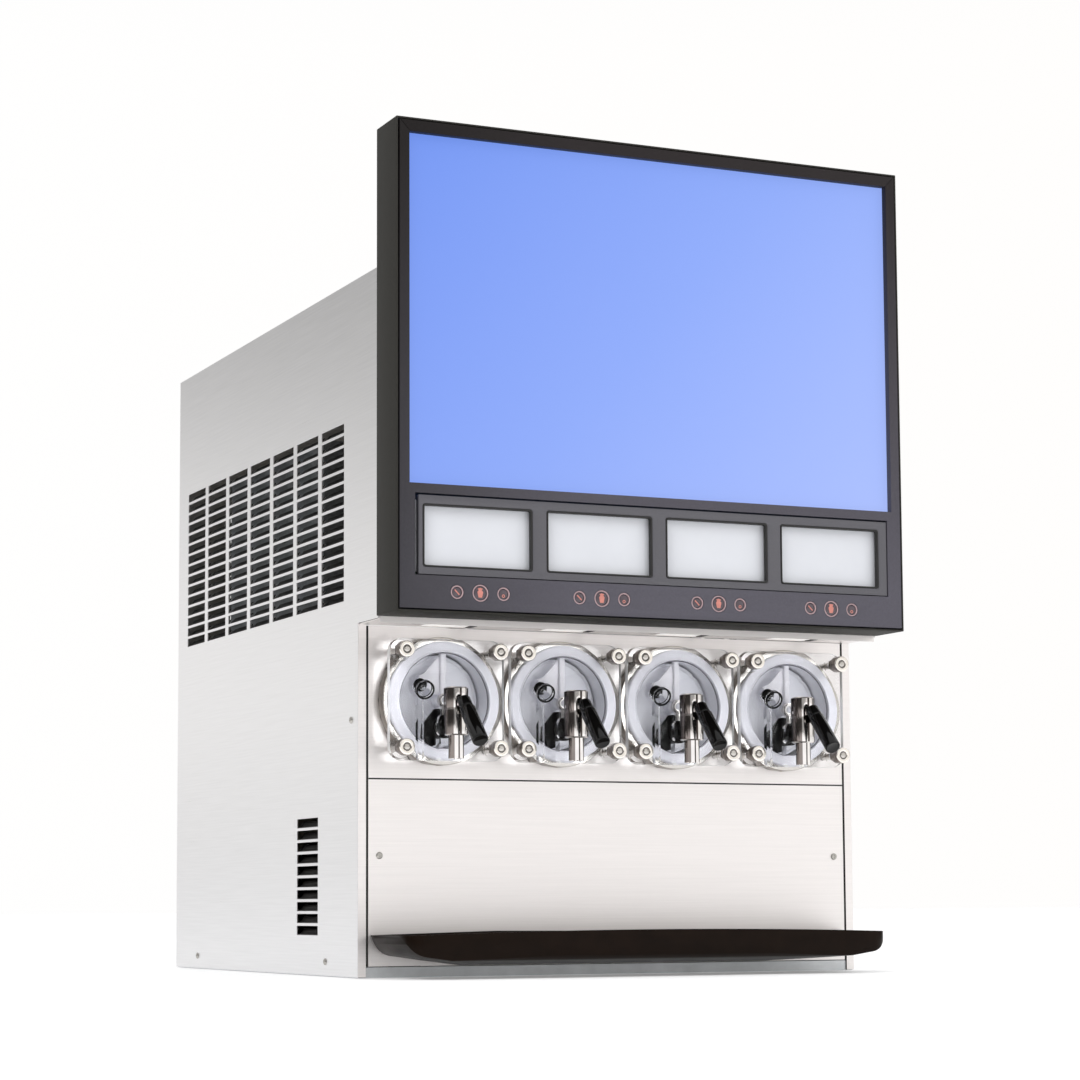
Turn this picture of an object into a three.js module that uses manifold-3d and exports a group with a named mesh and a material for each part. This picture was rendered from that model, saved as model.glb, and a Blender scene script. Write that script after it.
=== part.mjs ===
// Four-barrel frozen drink dispenser, built as an assembly of separate named parts.
// Millimetres. +X is the viewer's right, -Y is the front and +Z is up. The origin is the
// centre of the cabinet's footprint, on the underside of the base pan.

import * as THREE from "three";
import { mergeVertices } from "three/addons/utils/BufferGeometryUtils.js";
import Module from "manifold-3d";

const wasm = await Module();
wasm.setup();

// ---------------------------------------------------------------- driving dimensions

const cabinetWidth = 660;
const cabinetDepth = 714;
const cabinetHeight = 819.5;
const sheet = 1.5; // stainless panels
const gap = 0.4; // clearance between neighbouring parts

const frontReturn = 10.4; // folded front edge of each side panel
const hoodBottom = 410.7; // above this the cabinet runs forward over the barrels
const hoodDepth = 64.6;
const panelHalfWidth = 317; // barrel and splash panels, between the folded edges
const panelSplit = 230; // the splash panel ends and the barrel panel begins

const barrelCount = 4;
const barrelPitch = 153.3;
const barrelZ = 321;
const barrelBore = 57; // radius
const barrelWall = 3;
const barrelSides = 24;
const barrelLength = 428;
const collarRadius = 75;
const collarFront = -14; // how far the collar stands out of the barrel panel
const studX = 59; // half spacing of the four studs that hold a face plate
const studZ = 56.5;
const studRadius = 4;
const studFront = -52.5;

const plateHalfWidth = 72;
const plateHalfHeight = 71;
const plateFront = -30;
const plateThickness = 8;
const portZ = -31; // drink port through the face plate, below the barrel's axis
const portRadius = 10.6;

const valveY = -56; // axis of the upright valve body, in front of the barrel panel
const valveRadius = 14.3;
const valveTop = 13;
const valveStep = -43;
const spoutRadius = 9;
const spoutBottom = -69.5;
const plungerBore = 6;
const chamberRadius = 9;
const chamberBottom = -18;
const pivotZ = -6; // the handle's pivot in the valve body
const gripRadius = 9.5;
const gripLength = 62.8;
const gripDroop = Math.PI / 4; // the grip hangs this far below level at rest
const gripRoot = [-28, -2.4]; // upper end of the grip, from the pivot

const reliefX = -35;
const reliefZ = 15;
const reliefRadius = 10.5;
const reliefStem = 5.4;

const headerHalfWidth = 332;
const headerHeight = 569;
const headerBottom = 412.5;
const headerFront = -129.6;
const headerRear = -65;
const headerWall = 2;
const fasciaThickness = 9;
const screenHalfWidth = 316.6;
const screenZ = [146, 552.5]; // above the header's underside
const cardFrameX = [-305.6, 309];
const cardFrameZ = [42.5, 133];
const cardWidth = 136;
const cardPitch = 153.9;
const cardZ = [51, 123];
const cardOffset = -1.5; // the cards sit a little to the left of the header's centre
const cardOpening = [-310, 310]; // the fascia's opening round the card frame
const lampZ = 23.5;
const lampSpacing = 28.7;
const lampRadii = [8.2, 10.2, 8.2]; // left, middle and right lamp of each barrel

const trayHalfWidth = 314;
const trayCorner = -110; // the tray's front corners, in front of the splash panel
const trayBow = 15; // how far its front bulges beyond them
const trayRim = 49;
const trayArch = 5; // the rim is this much higher in the middle
const trayWall = 3;

const ventPitch = 14.4; // rows of louvre openings
const ventHeight = 11;

const glandX = 250; // the supply cord's gland, in the rear panel
const glandZ = 70;
const glandThread = 10;
const lineCount = 6; // gas, water and syrup lines, in a row beside the gland
const lineX = -260;
const linePitch = 50;
const lineHole = 9;

const frontY = -cabinetDepth / 2;
const rearY = cabinetDepth / 2;
const sideX = cabinetWidth / 2;
const innerX = sideX - sheet - gap;

// ---------------------------------------------------------------- materials

function finish(color, roughness, metalness, extra = {}) {
  return () => new THREE.MeshStandardMaterial({ color, roughness, metalness, ...extra });
}

const stainless = finish(0xd9d7d4, 0.38, 0.85);
const galvanised = finish(0xb5b8ba, 0.5, 0.8);
const nickel = finish(0xc9c4bb, 0.16, 1);
const blackPlastic = finish(0x0b0a0a, 0.3, 0);
const trayPlastic = finish(0x1c1512, 0.22, 0);
const headerPaint = finish(0x3b3733, 0.75, 0.1);
const fasciaPlastic = finish(0x545159, 0.5, 0);
const whitePlastic = finish(0xeceaf0, 0.45, 0);
const clearPlastic = finish(0xf4f6f8, 0.05, 0, { transparent: true, opacity: 0.25 });
const screenBlue = finish(0x7f9df5, 0.35, 0, { emissive: 0x5f80e8 });
const cardWhite = finish(0xe4e6ea, 0.5, 0);
const foam = finish(0xe6d9a8, 0.9, 0);
const circuitGreen = finish(0x1e5b3a, 0.6, 0);
const compressorBlack = finish(0x17181a, 0.4, 0.3);
const castAluminium = finish(0x9da0a3, 0.5, 0.8);
const tankSteel = finish(0xc4c7c9, 0.25, 0.95);

// ---------------------------------------------------------------- solids

// A closed geometry as a solid: only the positions are kept, and shared vertices merged.
function toSolid(geometry) {
  geometry.deleteAttribute("normal");
  geometry.deleteAttribute("uv");
  const merged = mergeVertices(geometry, 1e-4);
  const vertProperties = new Float32Array(merged.attributes.position.array);
  const triVerts = new Uint32Array(merged.index.array);
  return new wasm.Manifold(new wasm.Mesh({ numProp: 3, vertProperties, triVerts }));
}

function toGeometry(solid) {
  const { vertProperties, triVerts } = solid.getMesh();
  const geometry = new THREE.BufferGeometry();
  geometry.setAttribute("position", new THREE.BufferAttribute(vertProperties, 3));
  geometry.setIndex(new THREE.BufferAttribute(triVerts, 1));
  geometry.computeVertexNormals();
  return geometry;
}

function block([x0, x1], [y0, y1], [z0, z1]) {
  const geometry = new THREE.BoxGeometry(x1 - x0, y1 - y0, z1 - z0);
  geometry.translate((x0 + x1) / 2, (y0 + y1) / 2, (z0 + z1) / 2);
  return toSolid(geometry);
}

// A round bar along one axis, from one value to the other, at (u, v) on the other two axes.
function rod(axis, radius, [from, to], [u, v], sides = 16) {
  const geometry = new THREE.CylinderGeometry(radius, radius, to - from, sides);
  const middle = (from + to) / 2;
  if (axis === "x") {
    geometry.rotateZ(-Math.PI / 2).translate(middle, u, v);
  } else if (axis === "y") {
    geometry.translate(u, middle, v);
  } else {
    geometry.rotateX(Math.PI / 2).translate(u, v, middle);
  }
  return toSolid(geometry);
}

const extrusionBases = {
  x: [new THREE.Vector3(0, 1, 0), new THREE.Vector3(0, 0, 1), new THREE.Vector3(1, 0, 0)],
  y: [new THREE.Vector3(1, 0, 0), new THREE.Vector3(0, 0, 1), new THREE.Vector3(0, -1, 0)],
  z: [new THREE.Vector3(1, 0, 0), new THREE.Vector3(0, 1, 0), new THREE.Vector3(0, 0, 1)],
};

function extrude(axis, [from, to], shape, curveSegments) {
  const depth = to - from;
  const geometry = new THREE.ExtrudeGeometry(shape, { depth, bevelEnabled: false, curveSegments });
  geometry.applyMatrix4(new THREE.Matrix4().makeBasis(...extrusionBases[axis]));
  const start = axis === "y" ? to : from;
  geometry.translate(axis === "x" ? start : 0, axis === "y" ? start : 0, axis === "z" ? start : 0);
  return toSolid(geometry);
}

// A flat outline made thick along one axis between two values, with its holes cut through.
function slab(axis, [from, to], shape, curveSegments = 6) {
  let solid = extrude(axis, [from, to], new THREE.Shape(shape.getPoints(curveSegments)), curveSegments);
  for (const hole of shape.holes) {
    const cutter = new THREE.Shape(hole.getPoints(curveSegments));
    solid = solid.subtract(extrude(axis, [from - 1, to + 1], cutter, curveSegments));
  }
  return solid;
}

function outline(points) {
  return new THREE.Shape(points.map(([u, v]) => new THREE.Vector2(u, v)));
}

function rectangle([u0, u1], [v0, v1]) {
  return outline([[u0, v0], [u1, v0], [u1, v1], [u0, v1]]);
}

function roundedRectangle(halfWidth, halfHeight, corner) {
  const shape = new THREE.Shape();
  shape.moveTo(halfWidth - corner, -halfHeight);
  shape.absarc(halfWidth - corner, corner - halfHeight, corner, -Math.PI / 2, 0);
  shape.absarc(halfWidth - corner, halfHeight - corner, corner, 0, Math.PI / 2);
  shape.absarc(corner - halfWidth, halfHeight - corner, corner, Math.PI / 2, Math.PI);
  shape.absarc(corner - halfWidth, corner - halfHeight, corner, Math.PI, 1.5 * Math.PI);
  return shape;
}

// A round hole with a stated number of sides.
function roundHole(u, v, radius, sides) {
  const points = [];
  for (let i = 0; i < sides; i += 1) {
    const angle = (2 * Math.PI * i) / sides;
    points.push(new THREE.Vector2(u + radius * Math.cos(angle), v + radius * Math.sin(angle)));
  }
  return new THREE.Path(points);
}

// A turned solid: pairs of radius and height, spun about the local Z or Y axis.
function turned(axis, profile, sides) {
  const points = profile.map(([radius, height]) => new THREE.Vector2(radius, height));
  const geometry = new THREE.LatheGeometry(points, sides);
  if (axis === "z") {
    geometry.rotateX(Math.PI / 2);
  }
  return toSolid(geometry);
}

function mirroredX(solid) {
  const mesh = solid.getMesh();
  const vertProperties = mesh.vertProperties.map((value, i) => (i % 3 === 0 ? -value : value));
  const triVerts = mesh.triVerts.slice().reverse();
  return new wasm.Manifold(new wasm.Mesh({ numProp: 3, vertProperties, triVerts }));
}

function addPart(parent, name, solid, material) {
  const mesh = new THREE.Mesh(toGeometry(solid), material());
  mesh.name = name;
  parent.add(mesh);
  return mesh;
}

// ---------------------------------------------------------------- cabinet

// The floor of the cabinet: a pan with its edges folded up.
function basePan() {
  const halfWidth = innerX;
  const halfDepth = rearY - sheet - gap;
  const edge = 12;
  const outside = block([-halfWidth, halfWidth], [-halfDepth, halfDepth], [0, edge]);
  const x = [sheet - halfWidth, halfWidth - sheet];
  const y = [sheet - halfDepth, halfDepth - sheet];
  return outside.subtract(block(x, y, [sheet, edge + 1]));
}

// Cuts rows and columns of wide openings out of the right side panel.
function cutVents(side, { columns, rows, width, pitch, start, bottom }) {
  let cut = side;
  for (let column = 0; column < columns; column += 1) {
    const y = start + column * pitch;
    for (let row = 0; row < rows; row += 1) {
      const z = bottom + row * ventPitch;
      cut = cut.subtract(block([sideX - 3, sideX + 1], [y, y + width], [z, z + ventHeight]));
    }
  }
  return cut;
}

// A side panel is one folded sheet: the stepped side with its vents, and a front return.
function rightSidePanel() {
  const foot = 0.5;
  const hoodFront = frontY - hoodDepth;
  const shape = outline([
    [frontY, foot],
    [rearY, foot],
    [rearY, cabinetHeight],
    [hoodFront, cabinetHeight],
    [hoodFront, hoodBottom],
    [frontY, hoodBottom],
  ]);
  const side = slab("x", [sideX - sheet, sideX], shape);
  const large = { columns: 7, rows: 15, width: 77.5, pitch: 90.8, start: frontY + 48, bottom: 440.9 };
  const small = { columns: 1, rows: 10, width: 75, pitch: 0, start: frontY + 136, bottom: 48 };
  const vented = cutVents(cutVents(side, large), small);
  const x = [sideX - frontReturn, sideX - sheet / 2];
  return vented.add(block(x, [frontY, frontY + sheet], [foot, hoodBottom]));
}

// The lid: a flat top with its edges folded down.
function topPanel() {
  const edge = 18;
  const y = [frontY - hoodDepth + sheet + 2 * gap, rearY - sheet - gap];
  const outside = block([-innerX, innerX], y, [cabinetHeight - edge, cabinetHeight]);
  const x = [sheet - innerX, innerX - sheet];
  const hollow = block(x, [y[0] + sheet, y[1] - sheet], [0, cabinetHeight - sheet]);
  return outside.subtract(hollow);
}

// The back: exhaust slots, a hole for the supply cord's gland and six for the drink lines.
function rearPanel() {
  const shape = rectangle([-innerX, innerX], [1, cabinetHeight]);
  const slotColumns = 3;
  const slotRows = 6;
  const slotWidth = 150;
  const slotPitch = 180;
  const slotBottom = 480;
  for (let column = 0; column < slotColumns; column += 1) {
    const x = (column - (slotColumns - 1) / 2) * slotPitch;
    for (let row = 0; row < slotRows; row += 1) {
      const z = slotBottom + row * 2 * ventPitch;
      shape.holes.push(rectangle([x - slotWidth / 2, x + slotWidth / 2], [z, z + ventHeight]));
    }
  }
  shape.holes.push(roundHole(glandX, glandZ, glandThread + gap, 12));
  for (let line = 0; line < lineCount; line += 1) {
    shape.holes.push(roundHole(lineX + line * linePitch, glandZ, lineHole, 8));
  }
  return slab("y", [rearY - sheet, rearY], shape);
}

// The supply cord's gland, screwed through the back.
function powerGland() {
  const bore = 6;
  const flange = 15;
  const flangeRear = 8;
  const cap = 11;
  const length = { inside: -14, outside: 16 };
  const profile = [
    [bore, length.inside],
    [glandThread, length.inside],
    [glandThread, gap],
    [flange, gap],
    [flange, flangeRear],
    [cap, length.outside],
    [bore, length.outside],
    [bore, length.inside],
  ];
  return turned("y", profile, 12);
}

// The hood's underside and its upright front, one folded sheet. A window lights each barrel.
function canopyPanel() {
  const lip = 3.5;
  const windowWidth = 66;
  const windowOffset = 6;
  const windowY = [frontY - 47, frontY - 8];
  const bottom = hoodBottom - sheet - gap;
  const y = [frontY - hoodDepth, frontY - gap];
  const shape = rectangle([-innerX, innerX], y);
  for (const x of barrelCentres()) {
    const left = x + windowOffset - windowWidth / 2;
    shape.holes.push(rectangle([left, left + windowWidth], windowY));
  }
  const underside = slab("z", [bottom, bottom + sheet], shape);
  const front = block([-innerX, innerX], [y[0], y[0] + sheet], [bottom - lip, cabinetHeight - 1]);
  return underside.add(front);
}

function barrelCentres() {
  const centres = [];
  for (let i = 0; i < barrelCount; i += 1) {
    centres.push((i - (barrelCount - 1) / 2) * barrelPitch);
  }
  return centres;
}

function studPlaces() {
  return [[-studX, -studZ], [studX, -studZ], [studX, studZ], [-studX, studZ]];
}

function barrelFacePanel() {
  const z = [panelSplit, hoodBottom - sheet - 2 * gap];
  const shape = rectangle([-panelHalfWidth, panelHalfWidth], z);
  for (const x of barrelCentres()) {
    shape.holes.push(roundHole(x, barrelZ, collarRadius + gap, barrelSides));
    for (const [u, v] of studPlaces()) {
      shape.holes.push(roundHole(x + u, barrelZ + v, studRadius + gap, 8));
    }
  }
  return slab("y", [frontY, frontY + sheet], shape);
}

// The splash panel is a shallow pan: a flat front with its sides folded back.
function splashPanel() {
  const bottom = 13;
  const fold = 14;
  const top = panelSplit - 1;
  const outside = block([-panelHalfWidth, panelHalfWidth], [frontY, frontY + fold], [bottom, top]);
  const x = [sheet - panelHalfWidth, panelHalfWidth - sheet];
  return outside.subtract(block(x, [frontY + sheet, frontY + fold + 1], [bottom - 1, top + 1]));
}

// ---------------------------------------------------------------- freezing barrels

// A barrel: tube, front collar, mounting plate behind the barrel panel, and four studs.
// In its own frame the panel's front is Y = 0 and the barrel's axis is Z = 0.
function barrel() {
  const outer = barrelBore + barrelWall;
  const rearWall = 4;
  const shaftHole = 9;
  const mountFront = sheet + gap;
  const mountThickness = 3;
  const profile = [
    [barrelBore, collarFront],
    [collarRadius, collarFront],
    [collarRadius, mountFront],
    [outer, mountFront],
    [outer, barrelLength],
    [shaftHole, barrelLength],
    [shaftHole, barrelLength - rearWall],
    [barrelBore, barrelLength - rearWall],
    [barrelBore, collarFront],
  ];
  const mount = slab(
    "y",
    [mountFront, mountFront + mountThickness],
    rectangle([-plateHalfWidth, plateHalfWidth], [-plateHalfHeight, plateHalfHeight]),
  ).subtract(rod("y", (barrelBore + outer) / 2, [0, 2 * mountThickness], [0, 0], barrelSides));
  let body = turned("y", profile, barrelSides).add(mount);
  for (const place of studPlaces()) {
    body = body.add(rod("y", studRadius, [studFront, mountFront + 1], place, 8));
  }
  return body;
}

// The white face ring that seals the plate to the collar.
function faceRing() {
  const outer = 69;
  const front = plateFront + plateThickness + gap;
  const rear = collarFront - gap;
  const profile = [
    [barrelBore, front],
    [outer, front],
    [outer, rear],
    [barrelBore, rear],
    [barrelBore, front],
  ];
  return turned("y", profile, barrelSides);
}

// The clear plate that closes a barrel, with the moulded block that carries the valve.
function facePlate() {
  const blockHalfWidth = 15;
  const blockTop = -18;
  const blockFront = valveY + valveRadius + gap;
  const shape = roundedRectangle(plateHalfWidth, plateHalfHeight, 16);
  for (const [x, z] of studPlaces()) {
    shape.holes.push(roundHole(x, z, studRadius + gap, 8));
  }
  shape.holes.push(roundHole(reliefX, reliefZ, reliefStem + gap, 10));
  const plateRear = plateFront + plateThickness;
  const valveBlock = block(
    [-blockHalfWidth, blockHalfWidth],
    [blockFront, plateRear],
    [-plateHalfHeight, blockTop],
  );
  return slab("y", [plateFront, plateRear], shape, 4)
    .add(valveBlock)
    .subtract(rod("y", portRadius, [blockFront - 1, plateRear + 1], [0, portZ], 12));
}

// A clear push-fit vent plug: a stem through the face plate and a round head to pull.
function reliefValve() {
  const rear = plateFront + 7;
  const face = plateFront - gap;
  const front = face - 18;
  const profile = [
    [0, front],
    [reliefRadius, front],
    [reliefRadius, face],
    [reliefStem, face],
    [reliefStem, rear],
    [0, rear],
  ];
  return turned("y", profile, 10);
}

// The dasher: a shaft with a front disc and arms that carry two long scraper bars.
function dasher() {
  const shaftRadius = 8;
  const shaftFront = -8;
  const shaftRear = barrelLength + 22;
  const disc = { radius: 54, front: 8, rear: 11 };
  const bar = { inner: 45, outer: 54, halfThickness: 3, rear: barrelLength - 12 };
  const armPitch = 125;
  let body = rod("y", shaftRadius, [shaftFront, shaftRear], [0, 0], 10)
    .add(rod("y", disc.radius, [disc.front, disc.rear], [0, 0], barrelSides));
  for (let y = disc.rear + armPitch; y < bar.rear; y += armPitch) {
    body = body.add(block([-bar.inner - 1, bar.inner + 1], [y, y + 10], [-2.5, 2.5]));
  }
  for (const side of [-1, 1]) {
    const x = [side * bar.inner, side * bar.outer].sort((a, b) => a - b);
    body = body.add(block(x, [disc.rear - 1, bar.rear], [-bar.halfThickness, bar.halfThickness]));
  }
  return body;
}

// The geared motor on the barrel's rear, bored to take the dasher's shaft.
function gearMotor() {
  const front = barrelLength + 2;
  const gearboxRear = front + 70;
  const motorRear = gearboxRear + 120;
  const gearbox = block([-48, 48], [front, gearboxRear], [-38, 58]);
  const motor = rod("y", 44, [gearboxRear - 1, motorRear], [0, 10], 12);
  return gearbox.add(motor).subtract(rod("y", 8.6, [front - 1, front + 24], [0, 0], 10));
}

// ---------------------------------------------------------------- dispensing valve

// The upright nickel body, its spout, and the spigot that fits the face plate's port.
// In its own frame the body's axis is X = 0, Y = 0.
function valveBody() {
  const spigotRadius = portRadius - gap;
  const spigotRear = plateFront + plateThickness - valveY - gap;
  const roof = 3;
  const slotHalfWidth = 6;
  const slotZ = [pivotZ - 13, pivotZ + 7];
  const pinHole = 2.6;
  const outside = rod("z", valveRadius, [valveStep, valveTop], [0, 0], 16)
    .add(rod("z", spoutRadius, [spoutBottom, valveStep + 1], [0, 0], 16))
    .add(rod("y", spigotRadius, [0, spigotRear], [0, portZ], 12));
  return outside
    .subtract(rod("z", spoutRadius / 2, [spoutBottom - 1, valveStep + 2], [0, 0], 8))
    .subtract(rod("z", plungerBore, [valveStep + 1, chamberBottom + 1], [0, 0], 12))
    .subtract(rod("z", chamberRadius, [chamberBottom, valveTop - roof], [0, 0], 12))
    .subtract(rod("y", spoutRadius / 2, [0, spigotRear + 1], [0, portZ], 8))
    .subtract(block([-slotHalfWidth, slotHalfWidth], [-valveRadius - 1, 0], slotZ))
    .subtract(rod("x", pinHole, [-valveRadius - 1, valveRadius + 1], [0, pivotZ], 8));
}

// The plunger: a tip that closes the spout, a piston, a neck for the fork, and a head.
function valvePlunger() {
  const tip = valveStep + 1 + gap;
  const profile = [
    [0, tip],
    [plungerBore - gap, tip],
    [plungerBore - gap, tip + 3],
    [3, tip + 4],
    [3, pivotZ - 17],
    [plungerBore - gap, pivotZ - 17],
    [plungerBore - gap, pivotZ - 9],
    [2.5, pivotZ - 9],
    [2.5, pivotZ + 7],
    [chamberRadius - gap, pivotZ + 7],
    [chamberRadius - gap, pivotZ + 10.5],
    [0, pivotZ + 10.5],
  ];
  return turned("z", profile, 12);
}

// The handle: two fork tines on trunnions inside the body, a root and the round grip.
// In its own frame the pivot is the origin.
function valveHandle() {
  const tine = { inner: 3.2, outer: 5.2, halfHeight: 2.5, front: -12, rear: 5.5 };
  const root = { front: -31, rear: -10, halfHeight: 3.5 };
  const trunnion = 2;
  const grip = new THREE.CylinderGeometry(gripRadius, gripRadius, gripLength, 14);
  grip.translate(0, -gripLength / 2, 0);
  grip.rotateX(gripDroop);
  grip.translate(0, ...gripRoot);
  const rootZ = [-root.halfHeight, root.halfHeight];
  let body = toSolid(grip).add(block([-tine.outer, tine.outer], [root.front, root.rear], rootZ));
  for (const side of [-1, 1]) {
    const x = [side * tine.inner, side * tine.outer].sort((a, b) => a - b);
    const pin = [side * tine.inner, side * (valveRadius - gap)].sort((a, b) => a - b);
    body = body.add(block(x, [tine.front, tine.rear], [-tine.halfHeight, tine.halfHeight]));
    body = body.add(rod("x", trunnion, pin, [0, 0], 8));
  }
  return body;
}

// ---------------------------------------------------------------- display header

// The header's housing: a box open at the front. Its own frame starts at its underside.
function headerHousing() {
  const x = [-headerHalfWidth, headerHalfWidth];
  const outside = block(x, [headerFront + 1, headerRear], [0, headerHeight]);
  const inner = headerHalfWidth - headerWall;
  const hollow = block(
    [-inner, inner],
    [headerFront, headerRear - headerWall],
    [headerWall, headerHeight - headerWall],
  );
  return outside.subtract(hollow);
}

// Where each lamp is across the header, and its radius.
function lampPlaces() {
  return barrelCentres().flatMap((x) =>
    lampRadii.map((radius, i) => [x + (i - 1) * lampSpacing, radius]),
  );
}

// The front frame: openings for the screen and the card frame, and three lamps per barrel.
function headerFascia() {
  const margin = 3.6;
  const x = [margin - headerHalfWidth, headerHalfWidth - margin];
  const shape = rectangle(x, [margin, headerHeight - margin]);
  shape.holes.push(rectangle([-screenHalfWidth, screenHalfWidth], screenZ));
  shape.holes.push(rectangle(cardOpening, [cardFrameZ[0] - 1, cardFrameZ[1] + 2]));
  for (const [lampX, radius] of lampPlaces()) {
    shape.holes.push(roundHole(lampX, lampZ, radius, 10));
  }
  return slab("y", [headerFront, headerFront + fasciaThickness], shape);
}

// The display: a flat panel that fills the fascia's upper opening from behind.
function displayPanel() {
  const border = 6;
  const thickness = 20;
  const front = headerFront + fasciaThickness + gap;
  const halfWidth = screenHalfWidth + border;
  const z = [screenZ[0] - border, screenZ[1] + border];
  return block([-halfWidth, halfWidth], [front, front + thickness], z);
}

// The holder for the four flavour cards: a flat frame with a window for each card.
function flavourFrame() {
  const shape = rectangle(cardFrameX, cardFrameZ);
  for (let i = 0; i < barrelCount; i += 1) {
    const x = (i - (barrelCount - 1) / 2) * cardPitch + cardOffset;
    shape.holes.push(rectangle([x - cardWidth / 2, x + cardWidth / 2], cardZ));
  }
  return slab("y", [headerFront + 0.6, headerFront + fasciaThickness - 1], shape);
}

// The white sheet behind the cards, which spreads the light.
function flavourDiffuser() {
  const halfWidth = 306;
  const thickness = 3;
  const overlap = 5;
  const front = headerFront + fasciaThickness + gap;
  const z = [cardZ[0] - overlap, cardZ[1] + overlap];
  return block([-halfWidth, halfWidth], [front, front + thickness], z);
}

// The board of lamps that lights the cards and the three lenses of each barrel.
function lampBoard() {
  const halfWidth = 300;
  const thickness = 3;
  const setBack = 34;
  const front = headerFront + setBack;
  return block([-halfWidth, halfWidth], [front, front + thickness], [10, 132]);
}

// ---------------------------------------------------------------- drip tray

// The tray's plan, smaller all round by an inset: straight back, bowed front.
function trayPlan(inset) {
  const corner = 22 - inset;
  const halfWidth = trayHalfWidth - inset;
  const rear = frontY - 1 - inset;
  const shoulder = frontY + trayCorner + inset;
  const shape = new THREE.Shape();
  shape.moveTo(halfWidth, rear);
  shape.lineTo(-halfWidth, rear);
  shape.lineTo(-halfWidth, shoulder + corner);
  shape.quadraticCurveTo(-halfWidth, shoulder, corner - halfWidth, shoulder - 3);
  shape.quadraticCurveTo(0, shoulder - 2 * trayBow, halfWidth - corner, shoulder - 3);
  shape.quadraticCurveTo(halfWidth, shoulder, halfWidth, shoulder + corner);
  return shape;
}

// The tray's section from back to front: a floor that falls to the back and a leaning
// front wall, rounded where they meet.
function traySection(inset, top) {
  const rear = frontY - 1 + 40;
  const front = frontY + trayCorner - trayBow + inset;
  const floorRear = 12.5 + inset;
  const floorFront = 21 + inset;
  const shape = new THREE.Shape();
  shape.moveTo(rear, floorRear);
  shape.lineTo(rear, top);
  shape.lineTo(front - 8, top);
  shape.quadraticCurveTo(front + 6, floorFront + 1, front + 34, floorFront);
  shape.lineTo(frontY - 1, floorRear);
  return shape;
}

function dripTray() {
  const width = [-trayHalfWidth - 1, trayHalfWidth + 1];
  const top = trayRim;
  const outside = slab("z", [0, top], trayPlan(0)).intersect(slab("x", width, traySection(0, top)));
  const hollow = slab("z", [0, 2 * top], trayPlan(trayWall))
    .intersect(slab("x", width, traySection(trayWall, 2 * top)));
  return outside.subtract(hollow);
}

// The tray's rim rises in the middle: every point is lifted in proportion to its height.
function arch(mesh) {
  const position = mesh.geometry.attributes.position;
  for (let i = 0; i < position.count; i += 1) {
    const across = position.getX(i) / trayHalfWidth;
    const lift = trayArch * (1 - across * across) * (position.getZ(i) / trayRim);
    position.setZ(i, position.getZ(i) + lift);
  }
  mesh.geometry.computeVertexNormals();
}

// The cup grid that lies in the tray: rows of long slots between round-cornered bars.
function cupGrid() {
  const halfWidth = 296;
  const y = [frontY - 100, frontY - 8];
  const z = [36, 39];
  const rows = 6;
  const columns = 4;
  const slotWidth = 8;
  const slotLength = 132;
  const shape = rectangle([-halfWidth, halfWidth], y);
  for (let row = 0; row < rows; row += 1) {
    const v = y[0] + 8 + row * 14.5;
    for (let column = 0; column < columns; column += 1) {
      const u = (column - (columns - 1) / 2) * (slotLength + 14);
      shape.holes.push(rectangle([u - slotLength / 2, u + slotLength / 2], [v, v + slotWidth]));
    }
  }
  return slab("z", z, shape);
}

// ---------------------------------------------------------------- inner machinery

// The foamed block that insulates the four barrels.
function barrelInsulation() {
  const halfWidth = 308;
  const halfHeight = 76;
  const shape = rectangle([-halfWidth, halfWidth], [barrelZ - halfHeight, barrelZ + halfHeight]);
  for (const x of barrelCentres()) {
    shape.holes.push(roundHole(x, barrelZ, barrelBore + barrelWall + 1, barrelSides));
  }
  return slab("y", [frontY + 8, frontY + barrelLength - 8], shape);
}

// A welded hermetic compressor on a cross of two foot straps.
function compressor() {
  const profile = [
    [0, 8],
    [66, 8],
    [78, 26],
    [78, 132],
    [66, 160],
    [36, 176],
    [0, 178],
  ];
  const reach = [-92, 92];
  const strap = [-14, 14];
  const strapZ = [2.5, 12];
  return turned("z", profile, 16)
    .add(block(reach, strap, strapZ))
    .add(block(strap, reach, strapZ));
}

// The condenser behind the left vents: a plate that carries upright fins.
function condenser() {
  const fins = 20;
  const plate = -12;
  const halfHeight = 105;
  const pitch = 19;
  const finThickness = 6;
  const depth = 52;
  const points = [[plate, 0]];
  for (let i = 0; i < fins; i += 1) {
    const y = i * pitch;
    points.push([0, y], [depth, y], [depth, y + finThickness], [0, y + finThickness]);
  }
  points.push([plate, (fins - 1) * pitch + finThickness]);
  return slab("z", [-halfHeight, halfHeight], outline(points));
}

// The fan's frame: a plate with a round mouth, crossed arms and the motor they carry.
function fanShroud() {
  const mouth = 92;
  const frame = block([-16, 16], [-118, 118], [-104, 104]);
  const open = frame.subtract(rod("x", mouth, [-17, 17], [0, 0], 24));
  return open
    .add(block([8, 14], [-mouth - 4, mouth + 4], [-6, 6]))
    .add(block([8, 14], [-6, 6], [-mouth - 4, mouth + 4]))
    .add(rod("x", 32, [8, 50], [0, 0], 16));
}

// The fan's hub and its pitched blades, trimmed to a circle.
function fanRotor() {
  const blades = 5;
  const hubRadius = 24;
  const tipRadius = 86;
  const blade = { thickness: 3, chord: 40, span: 66, pitch: Math.PI / 7, x: -3.5, z: 52 };
  let body = rod("x", hubRadius, [-12, 5], [0, 0], 15);
  for (let i = 0; i < blades; i += 1) {
    const shape = new THREE.BoxGeometry(blade.thickness, blade.chord, blade.span);
    shape.rotateZ(blade.pitch).translate(blade.x, 0, blade.z).rotateX((2 * Math.PI * i) / blades);
    body = body.add(toSolid(shape));
  }
  return body.intersect(rod("x", tipRadius, [-15, 7], [0, 0], 24));
}

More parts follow.
